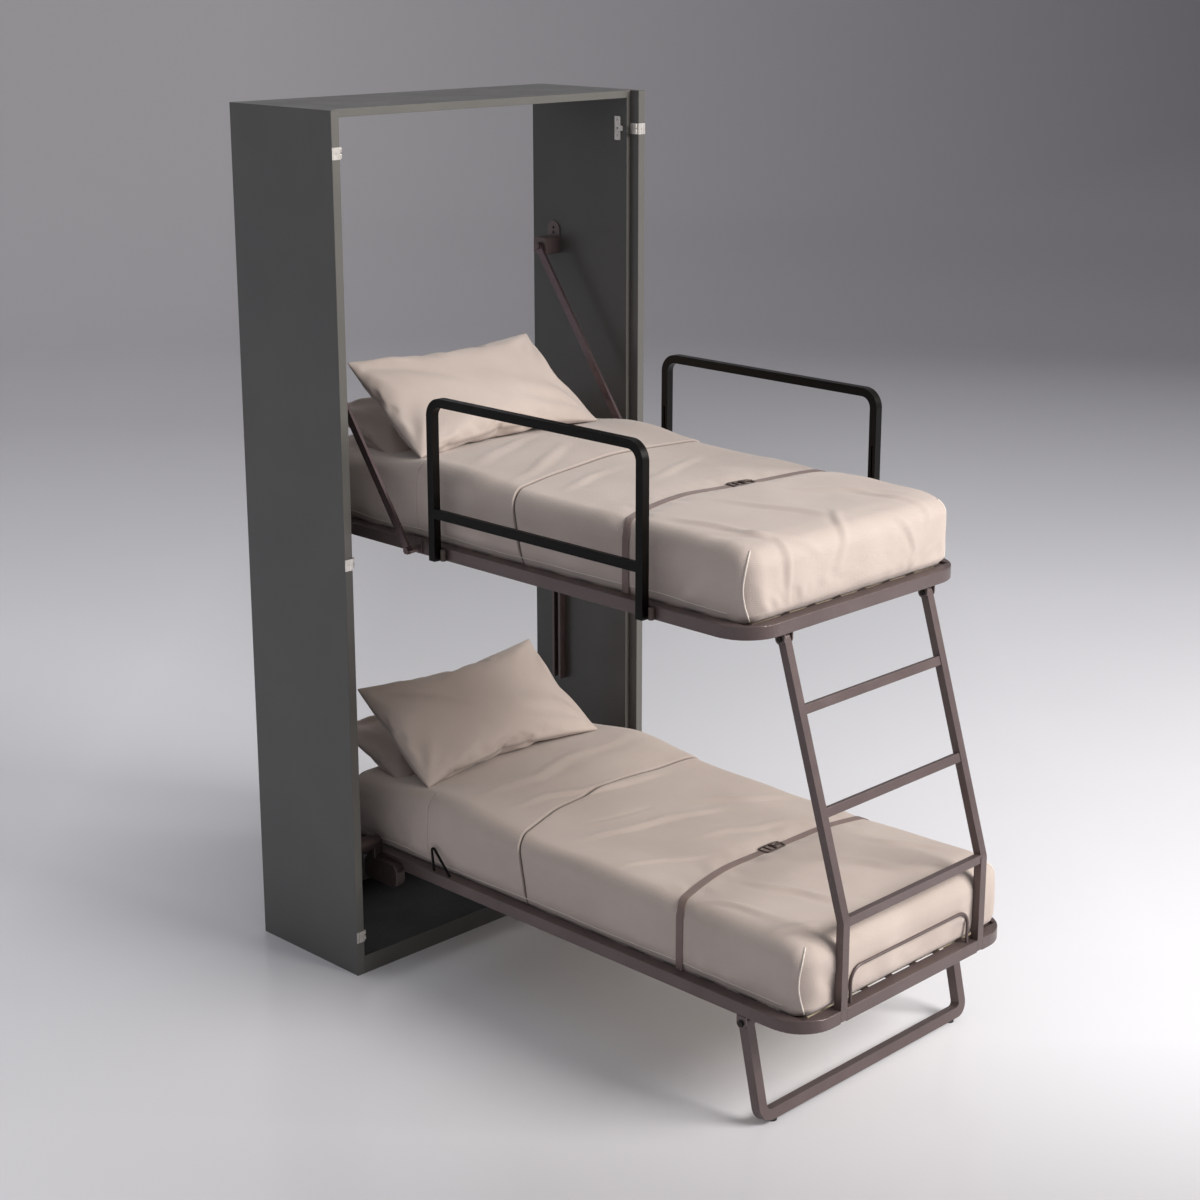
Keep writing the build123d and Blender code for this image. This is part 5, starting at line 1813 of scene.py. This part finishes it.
@dataclass(frozen=True)
class StudioFloor(Finish):
    """Seamless painted studio floor: pale near the object and darker behind it.

    The paint is rolled on, so it has wide faint clouds and a dull sheen. The light's falloff is
    painted on as well: behind the object the backdrop is painted darker toward its right end
    than toward its left, toward the camera the floor is painted darker with the shade there, and
    seen straight or in gloss, parts of the ground shine toward white with painted light that no
    lamp gives. Every span below is two distances in metres from the origin, behind the object or
    beside it, and a share at each.
    """

    # Painted falloff of the light: the backdrop's colours far to the left and far to the right
    far_left: str = "#cccace"
    far_right: str = "#7c7980"
    # Painted shade: the floor's colour toward the camera
    near: str = "#a5a3a7"
    # Colour of the painted light that the ground gives off behind the object, though no lamp is
    # there
    lift: str = "#f6f6fa"

    def product(self, tree: Tree, spans: tuple[tuple, ...]) -> Socket:
        """Multiplies the shares that a place has in several spans.

        Args:
            tree: The floor's node tree.
            spans: For each share the distance that it follows and its span.

        Returns:
            The product.
        """
        shares = [add_node(tree, "MapRange", span).outputs["Result"] for span in spans]
        total = shares[0]
        for share in shares[1:]:
            total = add_node(tree, "Math", (total, share), operation="MULTIPLY").outputs["Value"]
        return total

    def make(self) -> Material:
        """Makes the floor, whose colour depends on the place behind and beside the object.

        Returns:
            The finished material.
        """
        material, shader = self.start()
        tree = material.node_tree
        where = add_node(tree, "TexCoord").outputs["Object"]
        behind, beside = (
            add_node(tree, "VectorMath", (where, way), operation="DOT_PRODUCT").outputs["Value"]
            for way in (BEHIND, BESIDE)
        )
        # Painted falloff of the light: far behind the object the floor turns to the backdrop's
        # colours
        far = self.overlay(tree, linear(self.far_left), beside, (-3.0, 6.5, 0.0, 1.0),
                           linear(self.far_right))
        colour = self.overlay(tree, self.colour(tree, where, where), behind,
                              (1.2, 13.0, 0.0, 1.0), far)
        # Painted shade: toward the camera the floor darkens to its near colour
        toward = self.product(tree, ((behind, -1.0, -2.6, 0.0, 0.9),
                                     (beside, -1.1, 0.3, 0.05, 1.0)))
        colour = add_node(tree, "Mix", {0: toward, 6: colour, 7: linear(self.near)},
                          data_type="RGBA").outputs[2]
        tree.links.new(colour, shader.inputs["Base Color"])
        # Painted light: seen straight or in gloss, the ground behind the object shines a little
        # toward white, though no lamp is there
        painted_glow_parts = [self.product(tree, spans) for spans in (
            ((beside, -0.55, -1.5, 0.0, 0.15), (behind, -1.5, 0.0, 0.0, 1.0),
             (behind, 7.5, 1.0, 0.0, 1.0)),
            ((beside, 0.2, 2.2, 0.0, 0.14), (behind, -2.2, -0.4, 0.0, 1.0),
             (behind, 10.0, 3.5, 0.0, 1.0)),
        )]
        painted_glow_share = add_node(tree, "Math", painted_glow_parts, operation="MAXIMUM")
        rays = add_node(tree, "LightPath").outputs
        seen = add_node(tree, "Math", (rays["Is Camera Ray"], rays["Is Glossy Ray"]),
                        operation="MAXIMUM")
        painted_glow = add_node(tree, "Math", (painted_glow_share.outputs["Value"], seen.outputs["Value"]),
                        operation="MULTIPLY")
        shader.inputs["Emission Color"].default_value = linear(self.lift)
        tree.links.new(painted_glow.outputs["Value"], shader.inputs["Emission Strength"])
        return material


@dataclass
class Studio:
    """Floor with an upswept rim, lamps, world and camera, in metres."""

    radius: float = 15.0
    rim: float = 7.0
    # Radius of the quarter circle between the floor and its rim, and the disc's corners
    sweep_up: float = 4.0
    sides: int = 96
    # The camera as fitted to the photograph: its place, its turns in degrees, lens and shift
    eye: Place = (-4.578, -5.207, 3.062)
    heading: float = -45.95
    tilt: float = 74.53
    roll_radians: float = 0.003
    lens_mm: float = 67.62
    shift: tuple[float, float] = (-0.025, -0.0325)

    def floor(self) -> Piece:
        """Builds the floor: a disc whose rim sweeps up on a quarter circle into a wall.

        Radius and height are functions of the distance along the profile.

        Returns:
            The floor.
        """
        start = self.radius - self.sweep_up
        flat = np.concatenate([[0.02], np.linspace(0.5, start, 22)])
        bend = np.linspace(0, math.pi / 2, 18)[1:]
        radius = np.concatenate([flat, start + self.sweep_up * np.sin(bend), [self.radius]])
        height = np.concatenate([flat * 0, self.sweep_up * (1 - np.cos(bend)), [self.rim]])
        angle = np.arange(self.sides) / self.sides * TURN
        x = radius[:, None] * np.cos(angle)
        y = radius[:, None] * np.sin(angle)
        z = np.broadcast_to(height[:, None], x.shape)
        points = np.stack([x, y, z], axis=-1)
        faces = grid_faces(len(radius), self.sides, True).tolist()
        faces.append(list(range(self.sides))[::-1])
        mesh = bpy.data.meshes.new("studio_floor")
        mesh.from_pydata(points.reshape(-1, 3).tolist(), [], faces)
        mesh.polygons.foreach_set("use_smooth", np.full(len(mesh.polygons), True))
        piece = bpy.data.objects.new("studio_floor", mesh)
        bpy.context.scene.collection.objects.link(piece)
        paint = StudioFloor("painted_studio_floor", "#eeeff4", "#e9eaef", 0.22, cloud_mm=2600)
        mesh.materials.append(paint.make())
        return piece

    def lamp(self, name: str, place: Place, aim: Place, size: tuple[float, float], power: float,
             colour: str) -> None:
        """Adds a rectangular soft lamp.

        Args:
            name: The lamp's name.
            place: Where it hangs.
            aim: What it points at.
            size: Its width and height.
            power: Its power in watts.
            colour: Its light's sRGB hex colour.
        """
        light = bpy.data.lights.new(name, "AREA")
        light.shape = "RECTANGLE"
        light.size, light.size_y = size
        light.energy = power
        light.color = linear(colour)[:3]
        lamp = bpy.data.objects.new(name, light)
        bpy.context.scene.collection.objects.link(lamp)
        direction = np.array(aim) - np.array(place)
        yaw = math.atan2(direction[0], direction[1])
        pitch = math.atan2(direction[2], math.hypot(direction[0], direction[1]))
        lamp.location = place
        lamp.rotation_euler = (math.pi / 2 + pitch, 0, -yaw)

    def world(self) -> None:
        """Fills the studio with even grey light."""
        world = bpy.data.worlds.new("studio_air")
        world.use_nodes = True
        tree = world.node_tree
        tree.nodes.clear()
        air = add_node(tree, "Background", {"Color": linear("#f2f2f4"), "Strength": 0.44})
        add_node(tree, "OutputWorld", (air.outputs["Background"],))
        bpy.context.scene.world = world

    def camera(self) -> None:
        """Sets the camera where the photograph was taken from."""
        data = bpy.data.cameras.new("studio_camera")
        data.sensor_width = 36.0
        data.lens = self.lens_mm
        data.shift_x, data.shift_y = self.shift
        camera = bpy.data.objects.new("studio_camera", data)
        bpy.context.scene.collection.objects.link(camera)
        turn = (Matrix.Rotation(math.radians(self.heading), 3, "Z")
                @ Matrix.Rotation(math.radians(self.tilt), 3, "X")
                @ Matrix.Rotation(self.roll_radians, 3, "Z"))
        camera.rotation_euler = turn.to_euler()
        camera.location = self.eye
        bpy.context.scene.camera = camera

    def build(self) -> None:
        """Builds the whole studio."""
        scene = bpy.context.scene
        scene.view_settings.view_transform = "Standard"
        self.floor()
        self.world()
        self.lamp("key", (2.7, -7.5, 5.1), (0.2, -0.9, 0.8), (4.4, 3.4), 790, "#fffaf5")
        self.lamp("fill", (-6.5, -3.5, 3.6), (0, -0.6, 1.2), (3.5, 3.0), 10, "#f4f6ff")
        self.camera()


def main() -> None:
    """Builds every part of the scene in order."""
    logging.basicConfig(level=logging.INFO, format="%(message)s")
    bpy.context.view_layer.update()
    wardrobe = Wardrobe()
    Studio().build()
    LOG.info("studio and camera")
    wardrobe.dress_cad()
    LOG.info("finishes on the CAD nodes")
    seam_across = (-590, -450, -390, -200, 0, 200, 400, 590)
    for bedding in (
        Bedding(Bed.LOWER, seam_across, (-543, -534, -494, -450, -420, -416, -444, -452),
                second_seam=-124, strap_along=(1155, 1069, 1130), seed=3,
                creases=LOWER_CREASES),
        Bedding(Bed.UPPER, seam_across, (-540, -530, -490, -447, -415, -410, -440, -450),
                second_seam=-107, strap_along=(948, 845, 948), seed=11,
                creases=UPPER_CREASES),
    ):
        bedding.build(wardrobe)
    front = PillowForm(length=0.742, width=0.412, loft=0.135)
    rear = PillowForm(length=0.725, width=0.330, loft=0.128, rows=34)
    Pillows(front, rear).build(wardrobe)
    CabinetScrews().build(wardrobe)


if __name__ == "__main__":
    main()
